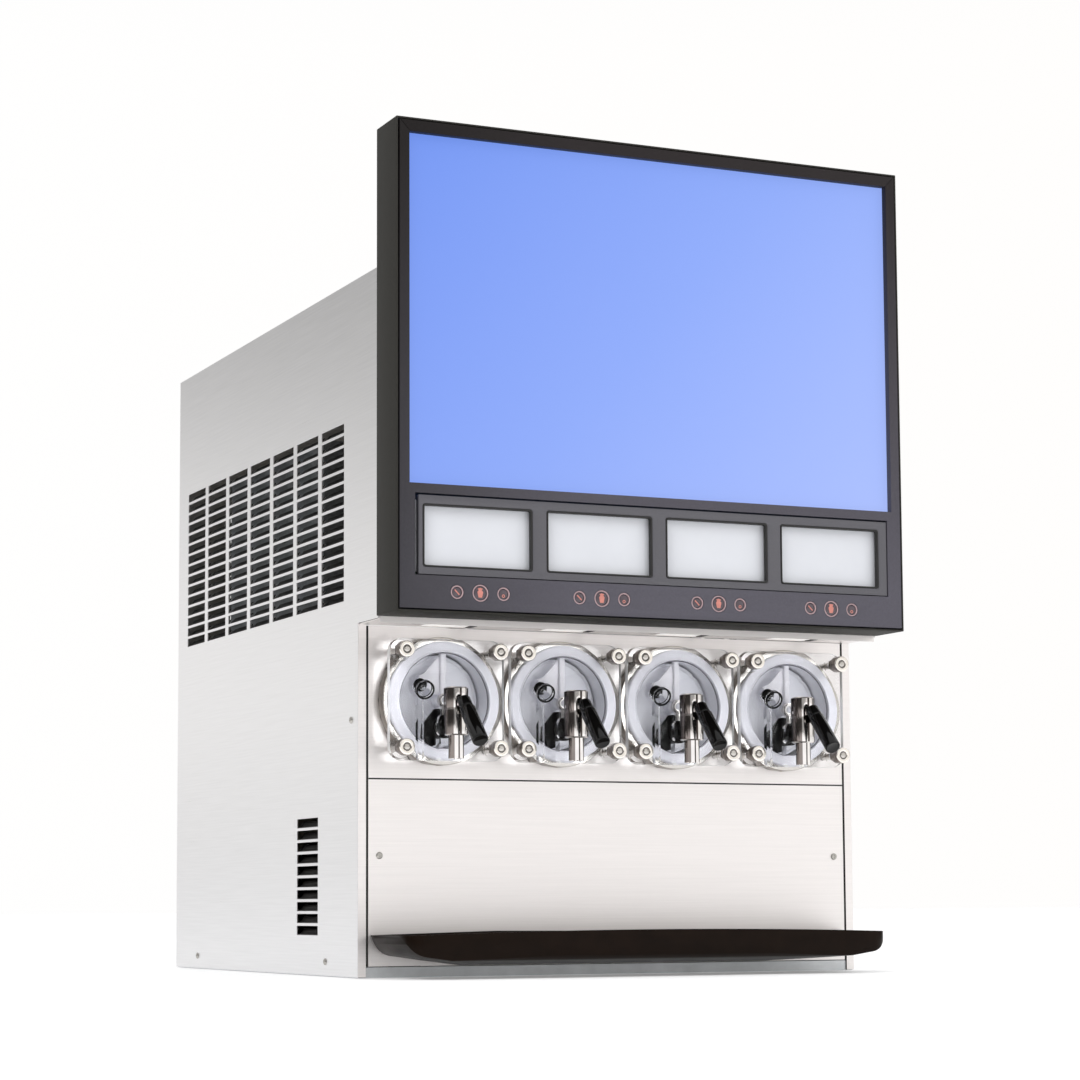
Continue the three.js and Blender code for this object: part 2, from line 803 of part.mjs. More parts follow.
// An open-topped sheet box for the controls.
function controlBox() {
  const half = [110, 130];
  const height = 150;
  const wall = 2;
  const inner = half.map((size) => size - wall);
  const outside = block([-half[0], half[0]], [-half[1], half[1]], [0, height]);
  const hollow = block([-inner[0], inner[0]], [-inner[1], inner[1]], [wall, height + 1]);
  return outside.subtract(hollow);
}

// The steel tank that carbonates the water.
function carbonatorTank() {
  const profile = [
    [0, 2.5],
    [40, 2.5],
    [56, 18],
    [56, 190],
    [40, 208],
    [12, 214],
    [12, 226],
    [0, 226],
  ];
  return turned("z", profile, 16);
}

// ---------------------------------------------------------------- assembly

const machine = new THREE.Group();

addPart(machine, "base_pan", basePan(), galvanised);
addPart(machine, "right_side_panel", rightSidePanel(), stainless);
addPart(machine, "left_side_panel", mirroredX(rightSidePanel()), stainless);
addPart(machine, "top_panel", topPanel(), stainless);
addPart(machine, "rear_panel", rearPanel(), stainless);
addPart(machine, "canopy_panel", canopyPanel(), stainless);
addPart(machine, "barrel_face_panel", barrelFacePanel(), stainless);
addPart(machine, "splash_panel", splashPanel(), stainless);
addPart(machine, "power_gland", powerGland(), blackPlastic).position.set(glandX, rearY, glandZ);

barrelCentres().forEach((x, index) => {
  const number = index + 1;
  const station = new THREE.Group();
  station.position.set(x, frontY, barrelZ);
  addPart(station, `barrel_${number}`, barrel(), stainless);
  addPart(station, `face_ring_${number}`, faceRing(), whitePlastic);
  addPart(station, `face_plate_${number}`, facePlate(), clearPlastic);
  addPart(station, `dasher_${number}`, dasher(), stainless);
  addPart(station, `gear_motor_${number}`, gearMotor(), castAluminium);
  addPart(station, `relief_valve_${number}`, reliefValve(), clearPlastic)
    .position.set(reliefX, 0, reliefZ);

  const valve = new THREE.Group();
  valve.position.set(0, valveY, 0);
  addPart(valve, `valve_body_${number}`, valveBody(), nickel);
  addPart(valve, `valve_plunger_${number}`, valvePlunger(), stainless);
  addPart(valve, `valve_handle_${number}`, valveHandle(), blackPlastic).position.set(0, 0, pivotZ);
  station.add(valve);
  machine.add(station);
});

const header = new THREE.Group();
header.position.set(0, frontY, headerBottom);
addPart(header, "header_housing", headerHousing(), headerPaint);
addPart(header, "header_fascia", headerFascia(), fasciaPlastic);
addPart(header, "display_panel", displayPanel(), screenBlue);
addPart(header, "flavour_frame", flavourFrame(), fasciaPlastic);
addPart(header, "flavour_diffuser", flavourDiffuser(), cardWhite);
addPart(header, "lamp_board", lampBoard(), circuitGreen);
machine.add(header);

arch(addPart(machine, "drip_tray", dripTray(), trayPlastic));
addPart(machine, "cup_grid", cupGrid(), stainless);

addPart(machine, "barrel_insulation", barrelInsulation(), foam);
addPart(machine, "compressor", compressor(), compressorBlack).position.set(-170, 90, 0);
addPart(machine, "carbonator_tank", carbonatorTank(), tankSteel).position.set(90, -60, 0);
addPart(machine, "control_box", controlBox(), galvanised).position.set(170, 110, 440);

const cooling = new THREE.Group();
cooling.position.set(-230, 0, 548);
addPart(cooling, "condenser", condenser(), castAluminium).position.set(-70, -190, 0);
addPart(cooling, "fan_shroud", fanShroud(), blackPlastic).position.set(12, 0, 0);
addPart(cooling, "fan_rotor", fanRotor(), blackPlastic).position.set(12, 0, 0);
machine.add(cooling);

export default machine;
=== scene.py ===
import math

import bmesh
import bpy
from mathutils import Matrix, Vector


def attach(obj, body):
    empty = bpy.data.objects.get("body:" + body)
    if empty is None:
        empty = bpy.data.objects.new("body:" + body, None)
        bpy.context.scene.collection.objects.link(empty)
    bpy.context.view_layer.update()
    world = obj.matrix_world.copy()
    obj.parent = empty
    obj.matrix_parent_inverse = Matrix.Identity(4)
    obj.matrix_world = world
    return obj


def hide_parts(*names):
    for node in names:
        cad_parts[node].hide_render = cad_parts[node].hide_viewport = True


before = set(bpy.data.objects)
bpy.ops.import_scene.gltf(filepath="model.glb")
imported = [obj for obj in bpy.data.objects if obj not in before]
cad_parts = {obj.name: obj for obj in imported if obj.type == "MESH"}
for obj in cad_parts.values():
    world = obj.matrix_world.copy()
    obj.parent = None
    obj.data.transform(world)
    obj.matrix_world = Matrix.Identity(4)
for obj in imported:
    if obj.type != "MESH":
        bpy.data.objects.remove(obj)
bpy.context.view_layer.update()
scene = bpy.context.scene

# ---------------------------------------------------------------- camera and studio
# The machine stands on a pale floor in a white studio. The camera is low, a little above
# the counter, left of the machine and far enough away for nearly parallel edges.

camera_data = bpy.data.cameras.new("camera")
camera = bpy.data.objects.new("camera", camera_data)
scene.collection.objects.link(camera)
scene.camera = camera
camera_yaw = math.radians(24.35)
camera_pitch = math.radians(5.756)
camera_roll = math.radians(-0.311)
camera_data.sensor_width = 36
camera_data.lens = 92.02
camera_data.shift_y = 0.08
camera_data.clip_start = 0.05
camera_data.clip_end = 200
turn = Matrix.Rotation(-camera_yaw, 4, "Z")
tilt = Matrix.Rotation(math.pi / 2 + camera_pitch, 4, "X")
lean = Matrix.Rotation(camera_roll, 4, "Z")
camera.matrix_world = Matrix.Translation((-1.4554, -3.3576, 0.083)) @ turn @ tilt @ lean
scene.view_settings.view_transform = "Standard"


def tint(code):
    """A colour from its hexadecimal sRGB code, as Blender's linear numbers."""
    parts = [int(code[i : i + 2], 16) / 255 for i in (0, 2, 4)]
    linear = [p / 12.92 if p <= 0.04045 else ((p + 0.055) / 1.055) ** 2.4 for p in parts]
    return (*linear, 1.0)


def set_inputs(node, **inputs):
    """Sets inputs of a shader node by name."""
    for name, value in inputs.items():
        node.inputs[name.replace("_", " ")].default_value = value
    return node


def add_node(nodes, kind, **inputs):
    """Adds a shader node and sets some of its inputs by name."""
    return set_inputs(nodes.new("ShaderNode" + kind), **inputs)


def add_ramp(nodes, stops):
    """Adds a colour ramp with stops at the given places."""
    ramp = add_node(nodes, "ValToRGB")
    elements = ramp.color_ramp.elements
    for end in (0, -1):
        elements[end].position = stops[end][0]
        elements[end].color = stops[end][1]
    for position, colour in stops[1:-1]:
        elements.new(position).color = colour
    return ramp


def add_multiply(nodes, **inputs):
    """Adds a node that multiplies two colours."""
    mix = add_node(nodes, "MixRGB", **inputs)
    mix.blend_type = "MULTIPLY"
    return mix


studio = bpy.data.worlds.new("studio")
scene.world = studio
studio.use_nodes = True
sky_nodes = studio.node_tree.nodes
sky_link = studio.node_tree.links.new
sky_place = add_node(sky_nodes, "TexCoord")
sky_split = add_node(sky_nodes, "SeparateXYZ")
sky_link(sky_place.outputs["Generated"], sky_split.inputs[0])
sky_front = add_node(sky_nodes, "Math")
sky_front.operation = "MULTIPLY"
sky_front.inputs[1].default_value = -1
sky_link(sky_split.outputs["Y"], sky_front.inputs[0])
sky_bearing = add_node(sky_nodes, "Math")
sky_bearing.operation = "ARCTAN2"
sky_link(sky_split.outputs["X"], sky_bearing.inputs[0])
sky_link(sky_front.outputs[0], sky_bearing.inputs[1])
sky_round = add_node(sky_nodes, "MapRange", From_Min=-math.pi, From_Max=math.pi)
sky_link(sky_bearing.outputs[0], sky_round.inputs["Value"])

# The walls by compass bearing, from behind the machine round by its left, front and
# right: white paper behind and to the right, dark between the camera and the left.
wall_tones = [
    (0.00, 1.0),
    (0.04, 0.95),
    (0.11, 0.85),
    (0.17, 0.45),
    (0.22, 0.1),
    (0.39, 0.11),
    (0.41, 0.4),
    (0.505, 0.45),
    (0.53, 1.05),
    (0.70, 1.05),
    (0.73, 0.2),
    (0.80, 0.25),
    (0.85, 1.0),
]
wall_stops = [(position, (tone, tone * 0.985, tone * 0.97, 1)) for position, tone in wall_tones]
sky_walls = add_ramp(sky_nodes, wall_stops + [(1, (1, 1, 1, 1))])
sky_link(sky_round.outputs["Result"], sky_walls.inputs["Fac"])

# The wall behind and to the left is darker above and below the height of the machine.
sky_left = add_node(sky_nodes, "MapRange", From_Min=0.2, From_Max=0.1)
sky_link(sky_round.outputs["Result"], sky_left.inputs["Value"])
height_tones = [(0.0, 0.66), (0.06, 1.2), (0.12, 1.12), (0.2, 0.45), (0.3, 0.38), (1, 0.38)]
sky_height = add_ramp(sky_nodes, [(position, (tone, tone, tone, 1)) for position, tone in height_tones])
sky_link(sky_split.outputs["Z"], sky_height.inputs["Fac"])
sky_shade = add_multiply(sky_nodes)
sky_link(sky_left.outputs["Result"], sky_shade.inputs["Fac"])
sky_link(sky_walls.outputs["Color"], sky_shade.inputs["Color1"])
sky_link(sky_height.outputs["Color"], sky_shade.inputs["Color2"])

# Above the walls is the white ceiling.
sky_level = add_ramp(sky_nodes, [(0.3, (0, 0, 0, 1)), (0.55, (1, 1, 1, 1))])
sky_link(sky_split.outputs["Z"], sky_level.inputs["Fac"])
sky_mix = add_node(sky_nodes, "MixRGB", Color2=(0.92, 0.92, 0.93, 1))
sky_link(sky_level.outputs["Color"], sky_mix.inputs["Fac"])
sky_link(sky_shade.outputs["Color"], sky_mix.inputs["Color1"])
sky_link(sky_mix.outputs["Color"], sky_nodes["Background"].inputs["Color"])
sky_nodes["Background"].inputs["Strength"].default_value = 1.0


def soft_light(name, place, aim, size, power):
    """A large square lamp that looks at a point."""
    data = bpy.data.lights.new(name, "AREA")
    data.shape = "SQUARE"
    data.size = size
    data.energy = power
    lamp = bpy.data.objects.new(name, data)
    lamp.location = place
    lamp.visible_glossy = False
    lamp.rotation_euler = (Vector(aim) - Vector(place)).to_track_quat("-Z", "Y").to_euler()
    scene.collection.objects.link(lamp)


soft_light("key_light", (-2.6, -2.2, 2.6), (0, -0.1, 0.4), 1.6, 50)
soft_light("fill_light", (2.6, -2.8, 1.8), (0, -0.2, 0.4), 1.6, 20)
soft_light("low_light", (0.9, -3.4, 0.35), (0, -0.3, 0.35), 1.4, 22)



def settle(name, scale=(1, 1, 1)):
    """Names the piece just added, sizes it, and leaves it at the origin and unturned."""
    piece = bpy.context.active_object
    piece.name = name
    piece.scale = scale
    bpy.ops.object.transform_apply(location=True, rotation=True, scale=True)
    return piece


bpy.ops.object.select_all(action="DESELECT")
bpy.ops.mesh.primitive_grid_add(x_subdivisions=8, y_subdivisions=8, size=60, location=(0, 0, -0.0005))
floor = settle("floor")
floor_paint = bpy.data.materials.new("pale_floor")
floor_paint.use_nodes = True
floor_nodes = floor_paint.node_tree.nodes
floor_link = floor_paint.node_tree.links.new
floor_noise = add_node(floor_nodes, "TexNoise", Scale=3)
floor_ramp = add_ramp(floor_nodes, [(0, (0.93, 0.93, 0.93, 1)), (1, (0.96, 0.96, 0.96, 1))])
floor_shader = set_inputs(
    floor_nodes["Principled BSDF"], Roughness=0.7, Emission_Color=(1, 1, 1, 1), Emission_Strength=0.22
)
floor_link(floor_noise.outputs["Fac"], floor_ramp.inputs["Fac"])
floor_link(floor_ramp.outputs["Color"], floor_shader.inputs["Base Color"])
floor.data.materials.append(floor_paint)

# ---------------------------------------------------------------- base pan and top
# A shallow pan of folded galvanised sheet carries the machinery, and a flat stainless
# lid closes the cabinet. Both are screwed to the flanges of the side panels.


def finish(
    name, colour, roughness, metallic=0.0, grain=(60, 60, 60), mottle=0.06, scatter=0.05, relief=0.0
):
    """A finish whose colour and roughness wander a little, over a fine grain in relief."""
    material = bpy.data.materials.new(name)
    material.use_nodes = True
    nodes = material.node_tree.nodes
    link = material.node_tree.links.new
    shader = set_inputs(nodes["Principled BSDF"], Metallic=metallic)
    place = add_node(nodes, "TexCoord")
    stretch = add_node(nodes, "Mapping", Scale=grain)
    noise = add_node(nodes, "TexNoise", Scale=1, Detail=4)
    link(place.outputs["Object"], stretch.inputs["Vector"])
    link(stretch.outputs["Vector"], noise.inputs["Vector"])
    base = tint(colour)[:3]
    dark = [c * (1 - mottle) for c in base]
    pale = [min(1, c * (1 + mottle)) for c in base]
    ramp = add_ramp(nodes, [(0.3, [*dark, 1]), (0.7, [*pale, 1])])
    link(noise.outputs["Fac"], ramp.inputs["Fac"])
    link(ramp.outputs["Color"], shader.inputs["Base Color"])
    spread = add_node(nodes, "MapRange", To_Min=max(0, roughness - scatter), To_Max=roughness + scatter)
    link(noise.outputs["Fac"], spread.inputs["Value"])
    link(spread.outputs["Result"], shader.inputs["Roughness"])
    if relief:
        bump = add_node(nodes, "Bump", Distance=relief / 1000)
        link(noise.outputs["Fac"], bump.inputs["Height"])
        link(bump.outputs["Normal"], shader.inputs["Normal"])
    return material


def shade(material, **inputs):
    """Sets a finish's own shader values by name."""
    set_inputs(material.node_tree.nodes["Principled BSDF"], **inputs)


def dress(material, *nodes):
    """Gives CAD parts their finish."""
    for name in nodes:
        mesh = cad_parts[name].data
        mesh.materials.clear()
        mesh.materials.append(material)


galvanised = finish(
    "galvanised", "cdd0d2", 0.45, 0.9, (25, 25, 25), mottle=0.16, scatter=0.12, relief=0.1
)
satin_steel = finish("satin_steel", "d0cfcc", 0.36, 1.0, (14, 14, 900), mottle=0.03, relief=0.02)
dress(galvanised, "base_pan")
dress(satin_steel, "top_panel")

# ---------------------------------------------------------------- side panels
# Two L-shaped stainless sheets, 1.5 mm thick. Two fields of louvres are lanced into each
# and bent inwards, and the front edge beside the barrels is folded round as a post.

side_x = 330
panel_rear = 357
cabinet_front = -357
hood_front = -421.6
hood_bottom = 410.7
panel_bottom = 0.5
panel_top = 819.5
fold_width = 10.4
vent_pitch = 14.4
vent_height = 11
vent_fields = [
    {"start": -309, "columns": 7, "width": 77.5, "pitch": 90.8, "bottom": 440.9, "rows": 15},
    {"start": -221, "columns": 1, "width": 75, "pitch": 90.8, "bottom": 48, "rows": 10},
]


def mm(*sizes):
    """A point or a step given in millimetres."""
    return Vector([size / 1000 for size in sizes])


def choose(piece):
    """Makes one piece the only selected one, and the active one."""
    bpy.ops.object.select_all(action="DESELECT")
    piece.select_set(True)
    bpy.context.view_layer.objects.active = piece


def open_mesh(piece, kind="FACE"):
    """Opens a piece for shaping."""
    choose(piece)
    bpy.ops.object.mode_set(mode="EDIT")
    bpy.ops.mesh.select_mode(type=kind)
    bpy.ops.mesh.select_all(action="SELECT")


def close_mesh():
    """Ends the shaping of the open piece."""
    bpy.ops.object.mode_set(mode="OBJECT")


def face_outwards():
    """Turns all faces of the open piece to its outside, and closes it."""
    bpy.ops.mesh.select_all(action="SELECT")
    bpy.ops.mesh.normals_make_consistent(inside=False)
    close_mesh()


def pick_faces(test):
    """Selects the faces whose middle, in millimetres, and normal pass a test."""
    bpy.ops.mesh.select_all(action="DESELECT")
    shape = bmesh.from_edit_mesh(bpy.context.edit_object.data)
    for face in shape.faces:
        if test(face.calc_center_median() * 1000, face.normal):
            face.select_set(True)
    bmesh.update_edit_mesh(bpy.context.edit_object.data)


def pick_edges(test):
    """Selects the edges whose middle, in millimetres, and direction pass a test."""
    bpy.ops.mesh.select_all(action="DESELECT")
    shape = bmesh.from_edit_mesh(bpy.context.edit_object.data)
    for edge in shape.edges:
        ends = [vertex.co for vertex in edge.verts]
        if test((ends[0] + ends[1]) * 500, (ends[1] - ends[0]).normalized()):
            edge.select_set(True)
    bmesh.update_edit_mesh(bpy.context.edit_object.data)


def cut(axis, place, zone=None):
    """Cuts the faces of a zone, or all faces, square across an axis."""
    if zone:
        pick_faces(zone)
    else:
        bpy.ops.mesh.select_all(action="SELECT")
    normal = Vector([1 if letter == axis else 0 for letter in "XYZ"])
    bpy.ops.mesh.bisect(plane_co=normal * place / 1000, plane_no=normal)


def apply(piece, kind, **settings):
    """Adds a modifier with its settings and applies it."""
    choose(piece)
    modifier = piece.modifiers.new(kind.lower(), kind)
    for setting, value in settings.items():
        setattr(modifier, setting, value)
    bpy.ops.object.modifier_apply(modifier=modifier.name)


def soften(piece, width, segments=2, angle=35, smooth=True):
    """Rounds a piece's sharp edges and shades it smooth."""
    if width:
        apply(
            piece,
            "BEVEL",
            width=width / 1000,
            segments=segments,
            limit_method="ANGLE",
            angle_limit=math.radians(angle),
            use_clamp_overlap=True,
        )
    choose(piece)
    if smooth:
        bpy.ops.object.shade_smooth_by_angle(angle=math.radians(angle))


def fit(piece, material, body, slot, *replaced):
    """Gives a piece its finish and lets it ride with a body of the machine."""
    if not piece.data.materials:
        piece.data.materials.append(material)
    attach(piece, body)
    if replaced:
        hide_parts(*replaced)


def paint(piece, materials, choice):
    """Gives a piece several finishes, and each of its faces the one a test picks by number."""
    for material in materials:
        piece.data.materials.append(material)
    for face in piece.data.polygons:
        face.material_index = choice(face.center * 1000, face.normal)


def copied(piece, name, step=(0, 0, 0)):
    """A copy of a piece with its own mesh, moved by a step in millimetres."""
    twin = piece.copy()
    twin.data = piece.data.copy()
    twin.name = name
    scene.collection.objects.link(twin)
    twin.data.transform(Matrix.Translation(mm(*step)))
    return twin


def sheet(name, axis, place, low, high):
    """A flat rectangle square to an axis, between two corners in millimetres."""
    turns = {"X": (0, -math.pi / 2, 0), "Y": (math.pi / 2, 0, 0), "Z": (0, 0, 0)}
    middle = [(a + b) / 2 for a, b in zip(low, high)]
    sizes = [(b - a) / 1000 for a, b in zip(low, high)]
    bpy.ops.object.select_all(action="DESELECT")
    where = {"X": (place, *middle), "Y": (middle[0], place, middle[1]), "Z": (*middle, place)}
    bpy.ops.mesh.primitive_plane_add(size=1, location=mm(*where[axis]), rotation=turns[axis])
    return settle(name, (sizes[1], sizes[0], 1) if axis == "X" else (sizes[0], sizes[1], 1))


def lance_louvres(field):
    """Cuts a field of slots and bends a tab inwards from each slot's lower edge."""
    low = field["bottom"]
    high = low + (field["rows"] - 1) * vent_pitch + vent_height
    starts = [field["start"] + i * field["pitch"] for i in range(field["columns"])]
    columns = [(start, start + field["width"]) for start in starts]
    rows = [(low + i * vent_pitch, low + i * vent_pitch + vent_height) for i in range(field["rows"])]

    def beside(middle, normal):
        return (middle.z > hood_bottom) == (low > hood_bottom) and middle.y > cabinet_front

    def level(middle, normal):
        return low - 1 < middle.z < high + 1 and middle.y > cabinet_front

    for edge in [edge for row in rows for edge in row]:
        cut("Z", edge, beside)
    for edge in [edge for column in columns for edge in column]:
        cut("Y", edge, level)

    def in_slot(middle, normal):
        across = any(a < middle.y < b for a, b in columns)
        return across and any(a < middle.z < b for a, b in rows)

    pick_faces(in_slot)
    bpy.ops.mesh.delete(type="ONLY_FACE")
    bpy.ops.mesh.select_mode(type="EDGE")

    def under_slot(middle, direction):
        across = any(a < middle.y < b for a, b in columns)
        return across and abs(direction.y) > 0.9 and any(abs(middle.z - a) < 0.1 for a, b in rows)

    pick_edges(under_slot)
    for step in [(2.2, 0, 0.6), (3.6, 0, 2.6), (3.4, 0, 5.0)]:
        bpy.ops.mesh.extrude_edges_move(TRANSFORM_OT_translate={"value": mm(*step)})
    bpy.ops.mesh.select_mode(type="FACE")


left_panel = sheet("side_panel_left", "X", -side_x, (hood_front, panel_bottom), (panel_rear, panel_top))
open_mesh(left_panel)
cut("Y", cabinet_front)
cut("Z", hood_bottom)
pick_faces(lambda middle, normal: middle.y < cabinet_front and middle.z < hood_bottom)
bpy.ops.mesh.delete(type="FACE")
for field in vent_fields:
    lance_louvres(field)
bpy.ops.mesh.select_mode(type="EDGE")
pick_edges(
    lambda middle, direction: abs(middle.y - cabinet_front) < 0.1
    and middle.z < hood_bottom
    and abs(direction.z) > 0.9
)
bpy.ops.mesh.extrude_edges_move(TRANSFORM_OT_translate={"value": mm(fold_width, 0, 0)})
face_outwards()
if max(left_panel.data.polygons, key=lambda face: face.area).normal.x > 0:
    left_panel.data.flip_normals()
apply(left_panel, "SOLIDIFY", thickness=0.0015, offset=-1)
right_panel = copied(left_panel, "side_panel_right")
right_panel.data.transform(Matrix.Scale(-1, 4, (1, 0, 0)))
right_panel.data.flip_normals()
side_steel = finish("side_steel", "e9e9ea", 0.3, 1.0, (9, 9, 500), mottle=0.03, relief=0.015)
# Painted shade: the louvre tabs inside the sheet get a dark steel.
louvre_shade_steel = finish("louvre_shade_steel", "4a4846", 0.45, 1.0, (9, 9, 500), mottle=0.05)
front_steel = finish("front_steel", "efebe9", 0.42, 1.0, (10, 10, 700), mottle=0.025, relief=0.015)


def panel_finish(middle, normal):
    """Front steel on the folds, dark steel as painted shade on the louvres inside, side steel elsewhere.
    """
    if normal.y < -0.9:
        return 1
    return 2 if abs(middle.x) < side_x - 1.6 else 0


for panel, node in [(left_panel, "left_side_panel"), (right_panel, "right_side_panel")]:
    soften(panel, 0.35, segments=1, angle=50, smooth=False)
    paint(panel, [side_steel, front_steel, louvre_shade_steel], panel_finish)
    fit(panel, side_steel, "cabinet", "stainless_side", node)

# ---------------------------------------------------------------- screws
# Cross-recessed pan-head screws hold the side panels to the pan and the splash panel to
# its posts. They are stainless and stand about 2 mm proud.

forwards = (0, -1, 0)
backwards = (0, 1, 0)
upwards = (0, 0, 1)


def turned(name, base, direction, profile, sides=48, closed=False):
    """A round piece: a ring extruded and resized step by step along a direction."""
    direction = Vector(direction).normalized()
    base = mm(*base)
    radius, along = profile[0]
    centre = base + direction * along / 1000
    bpy.ops.object.select_all(action="DESELECT")
    bpy.ops.mesh.primitive_circle_add(
        vertices=sides,
        radius=radius / 1000,
        fill_type="NOTHING" if closed else "NGON",
        location=centre,
        rotation=direction.to_track_quat("Z", "Y").to_euler(),
    )
    piece = settle(name)
    open_mesh(piece, "EDGE" if closed else "FACE")
    extrude = bpy.ops.mesh.extrude_edges_move if closed else bpy.ops.mesh.extrude_region_move
    for next_radius, next_along in profile[1:] + (profile[:1] if closed else []):
        step = direction * (next_along - along) / 1000
        extrude(TRANSFORM_OT_translate={"value": step})
        centre = centre + step
        bpy.ops.transform.resize(value=(next_radius / radius,) * 3, center_override=centre)
        radius, along = next_radius, next_along
    bpy.ops.mesh.select_all(action="SELECT")
    if closed:
        bpy.ops.mesh.remove_doubles(threshold=0.00001)
    face_outwards()
    return piece


def block(name, low, high):
    """A rectangular block between two corners in millimetres."""
    bpy.ops.object.select_all(action="DESELECT")
    middle = [(a + b) / 2 for a, b in zip(low, high)]
    bpy.ops.mesh.primitive_cube_add(size=1, location=mm(*middle))
    return settle(name, mm(*[b - a for a, b in zip(low, high)]))


def combine(piece, tool, operation="DIFFERENCE"):
    """Cuts a tool out of a piece, or joins it on, and removes the tool."""
    apply(piece, "BOOLEAN", object=tool, operation=operation, solver="EXACT")
    bpy.data.objects.remove(tool)


screw_steel = finish("screw_steel", "b9b6b0", 0.3, 1.0, (400, 400, 400), mottle=0.08)


def screw(name, place, direction, slot="stainless_side"):
    """A pan-head screw whose head stands on a surface."""
    place = Vector(place)
    piece = turned(name, place, direction, [(4.1, -0.8), (4.1, 0.7), (3.4, 1.4), (2.2, 1.75)], 24)
    normal = Vector(direction)
    for reach in [Vector((2.2, 2.2, 0.45)), Vector((0.45, 0.45, 2.2))]:
        for axis in range(3):
            if abs(normal[axis]) > 0.5:
                reach[axis] = 0.9
        top = place + normal * 1.7
        combine(piece, block("recess", top - reach, top + reach))
    soften(piece, 0.25)
    fit(piece, screw_steel, "cabinet", slot)


sides = [(-1, "left"), (1, "right")]
side_screw_places = [(-248, 17), (257, 17), (-335, 298.6)]
for side, label in sides:
    for i, (y, z) in enumerate(side_screw_places):
        screw(f"side_screw_{label}_{i + 1}", (side * side_x, y, z), (side, 0, 0))
for side, label in sides:
    screw(f"splash_screw_{label}", (side * 303.4, cabinet_front, 140.7), forwards, "stainless_front")

# ---------------------------------------------------------------- rear panel and lines
# The back is one louvred stainless sheet. The mains gland and a row of barbed stainless
# connectors for the gas, water and syrup lines come through it near the bottom.

dress(satin_steel, "rear_panel")
barb_profile = [(7.6, -12), (7.6, -0.4), (8.6, -0.4), (8.6, 3)]
barb_profile += [(5, 3), (5, 6), (6, 6), (5, 9), (6, 9), (5, 12), (3.2, 14)]
fittings_z = 70
barb_steel = finish("barb_steel", "c3c1bc", 0.25, 1.0, (120, 120, 120))
for i in range(6):
    base = (-260 + 50 * i, panel_rear + 0.4, fittings_z)
    barb = turned(f"line_barb_{i + 1}", base, backwards, barb_profile, 32)
    soften(barb, 0.3)
    fit(barb, barb_steel, "cabinet", "stainless_side")
gland_profile = [(8.5, -14), (8.5, 0.4), (15, 0.4), (15, 6.5), (13, 8), (11, 9)]
gland_profile += [(11, 15.2), (10.2, 16), (6, 16), (6, -14)]
gland = turned("mains_gland", (250, panel_rear, fittings_z), backwards, gland_profile, 48, closed=True)
soften(gland, 0.4)
black_moulding = finish("black_moulding", "141313", 0.42, 0.0, (300, 300, 300), relief=0.05)
fit(gland, black_moulding, "cabinet", "black_plastic", "power_gland")

# ---------------------------------------------------------------- hood underside
# The hood's underside is a folded stainless sheet with a lit window over each barrel. A
# white acrylic lens fills each window, and a black block beside it is painted shade for the window's
# shadowed end wall.

dress(front_steel, "canopy_panel")
lens_acrylic = finish("lens_acrylic", "f4f2ee", 0.4, 0.0, (50, 50, 50), mottle=0.02)
shade(lens_acrylic, Emission_Color=(1, 0.98, 0.95, 1), Emission_Strength=0.45)
barrel_pitch = 153.3
barrel_x = [barrel_pitch * (i - 1.5) for i in range(4)]
recess_black = finish("recess_black", "1b1a19", 0.6, 0.0, (200, 200, 200))
lens_low = hood_bottom - 1.2
for i, x in enumerate(barrel_x):
    lens = block(f"hood_lens_{i + 1}", (x - 30, -407, lens_low), (x + 31, -362, lens_low + 2.4))
    soften(lens, 0.4)
    fit(lens, lens_acrylic, "cabinet", "card_white")
    # Painted shade: a black block at each window's end stands for the shadowed wall there.
    window_shade = block(f"hood_window_shade_{i + 1}", (x + 32, -408, lens_low - 0.6), (x + 43, -361, lens_low + 3))
    soften(window_shade, 0.6)
    fit(window_shade, recess_black, "cabinet", "black_plastic")

# ---------------------------------------------------------------- front panels
# Two brushed stainless panels close the front: the barrel panel above, pierced for the
# barrels and their studs, and the splash panel below it, a shallow folded pan.

dress(front_steel, "barrel_face_panel", "splash_panel")
# Painted shade: black strips fill the join between the two panels and the gaps beside the posts.
join_shade = block("panel_join_shade", (-316.6, cabinet_front - 0.5, 228.8), (316.6, cabinet_front + 1.2, 230.6))
soften(join_shade, 0.3)
fit(join_shade, recess_black, "cabinet", "black_plastic")
for side, label in sides:
    low_x, high_x = sorted((side * 316.8, side * 320.5))
    strip_low = (low_x, cabinet_front + 1.8, 13.2)
    strip = block(f"post_gap_shade_{label}", strip_low, (high_x, cabinet_front + 3.2, 408))
    soften(strip, 0.3)
    fit(strip, recess_black, "cabinet", "black_plastic")

# ---------------------------------------------------------------- freezing barrels
# Each barrel is a stainless tube with a spun collar welded round its mouth. Four threaded
# studs in the collar's corners hold the clear face plate.

barrel_z = 321
stud_places = [(-59, -56.5), (59, -56.5), (59, 56.5), (-59, 56.5)]
barrel_profile = [(57, -14), (75, -14), (75, 1.9), (60, 1.9), (60, 428), (9, 428), (9, 424), (57, 424)]
barrel_steel = finish("barrel_steel", "c6c2bd", 0.22, 1.0, (30, 30, 30), mottle=0.05)
chamber_white = finish("chamber_white", "e6e6ec", 0.4, 0.0, (30, 30, 30), mottle=0.03)


def joined(name, pieces):
    """Joins pieces into one."""
    choose(pieces[0])
    for piece in pieces:
        piece.select_set(True)
    bpy.ops.object.join()
    pieces[0].name = name
    return pieces[0]


first_x = barrel_x[0]


def spot(across, y, above):
    """A place on the first station, measured across and above from its barrel's axis."""
    return (first_x + across, y, barrel_z + above)


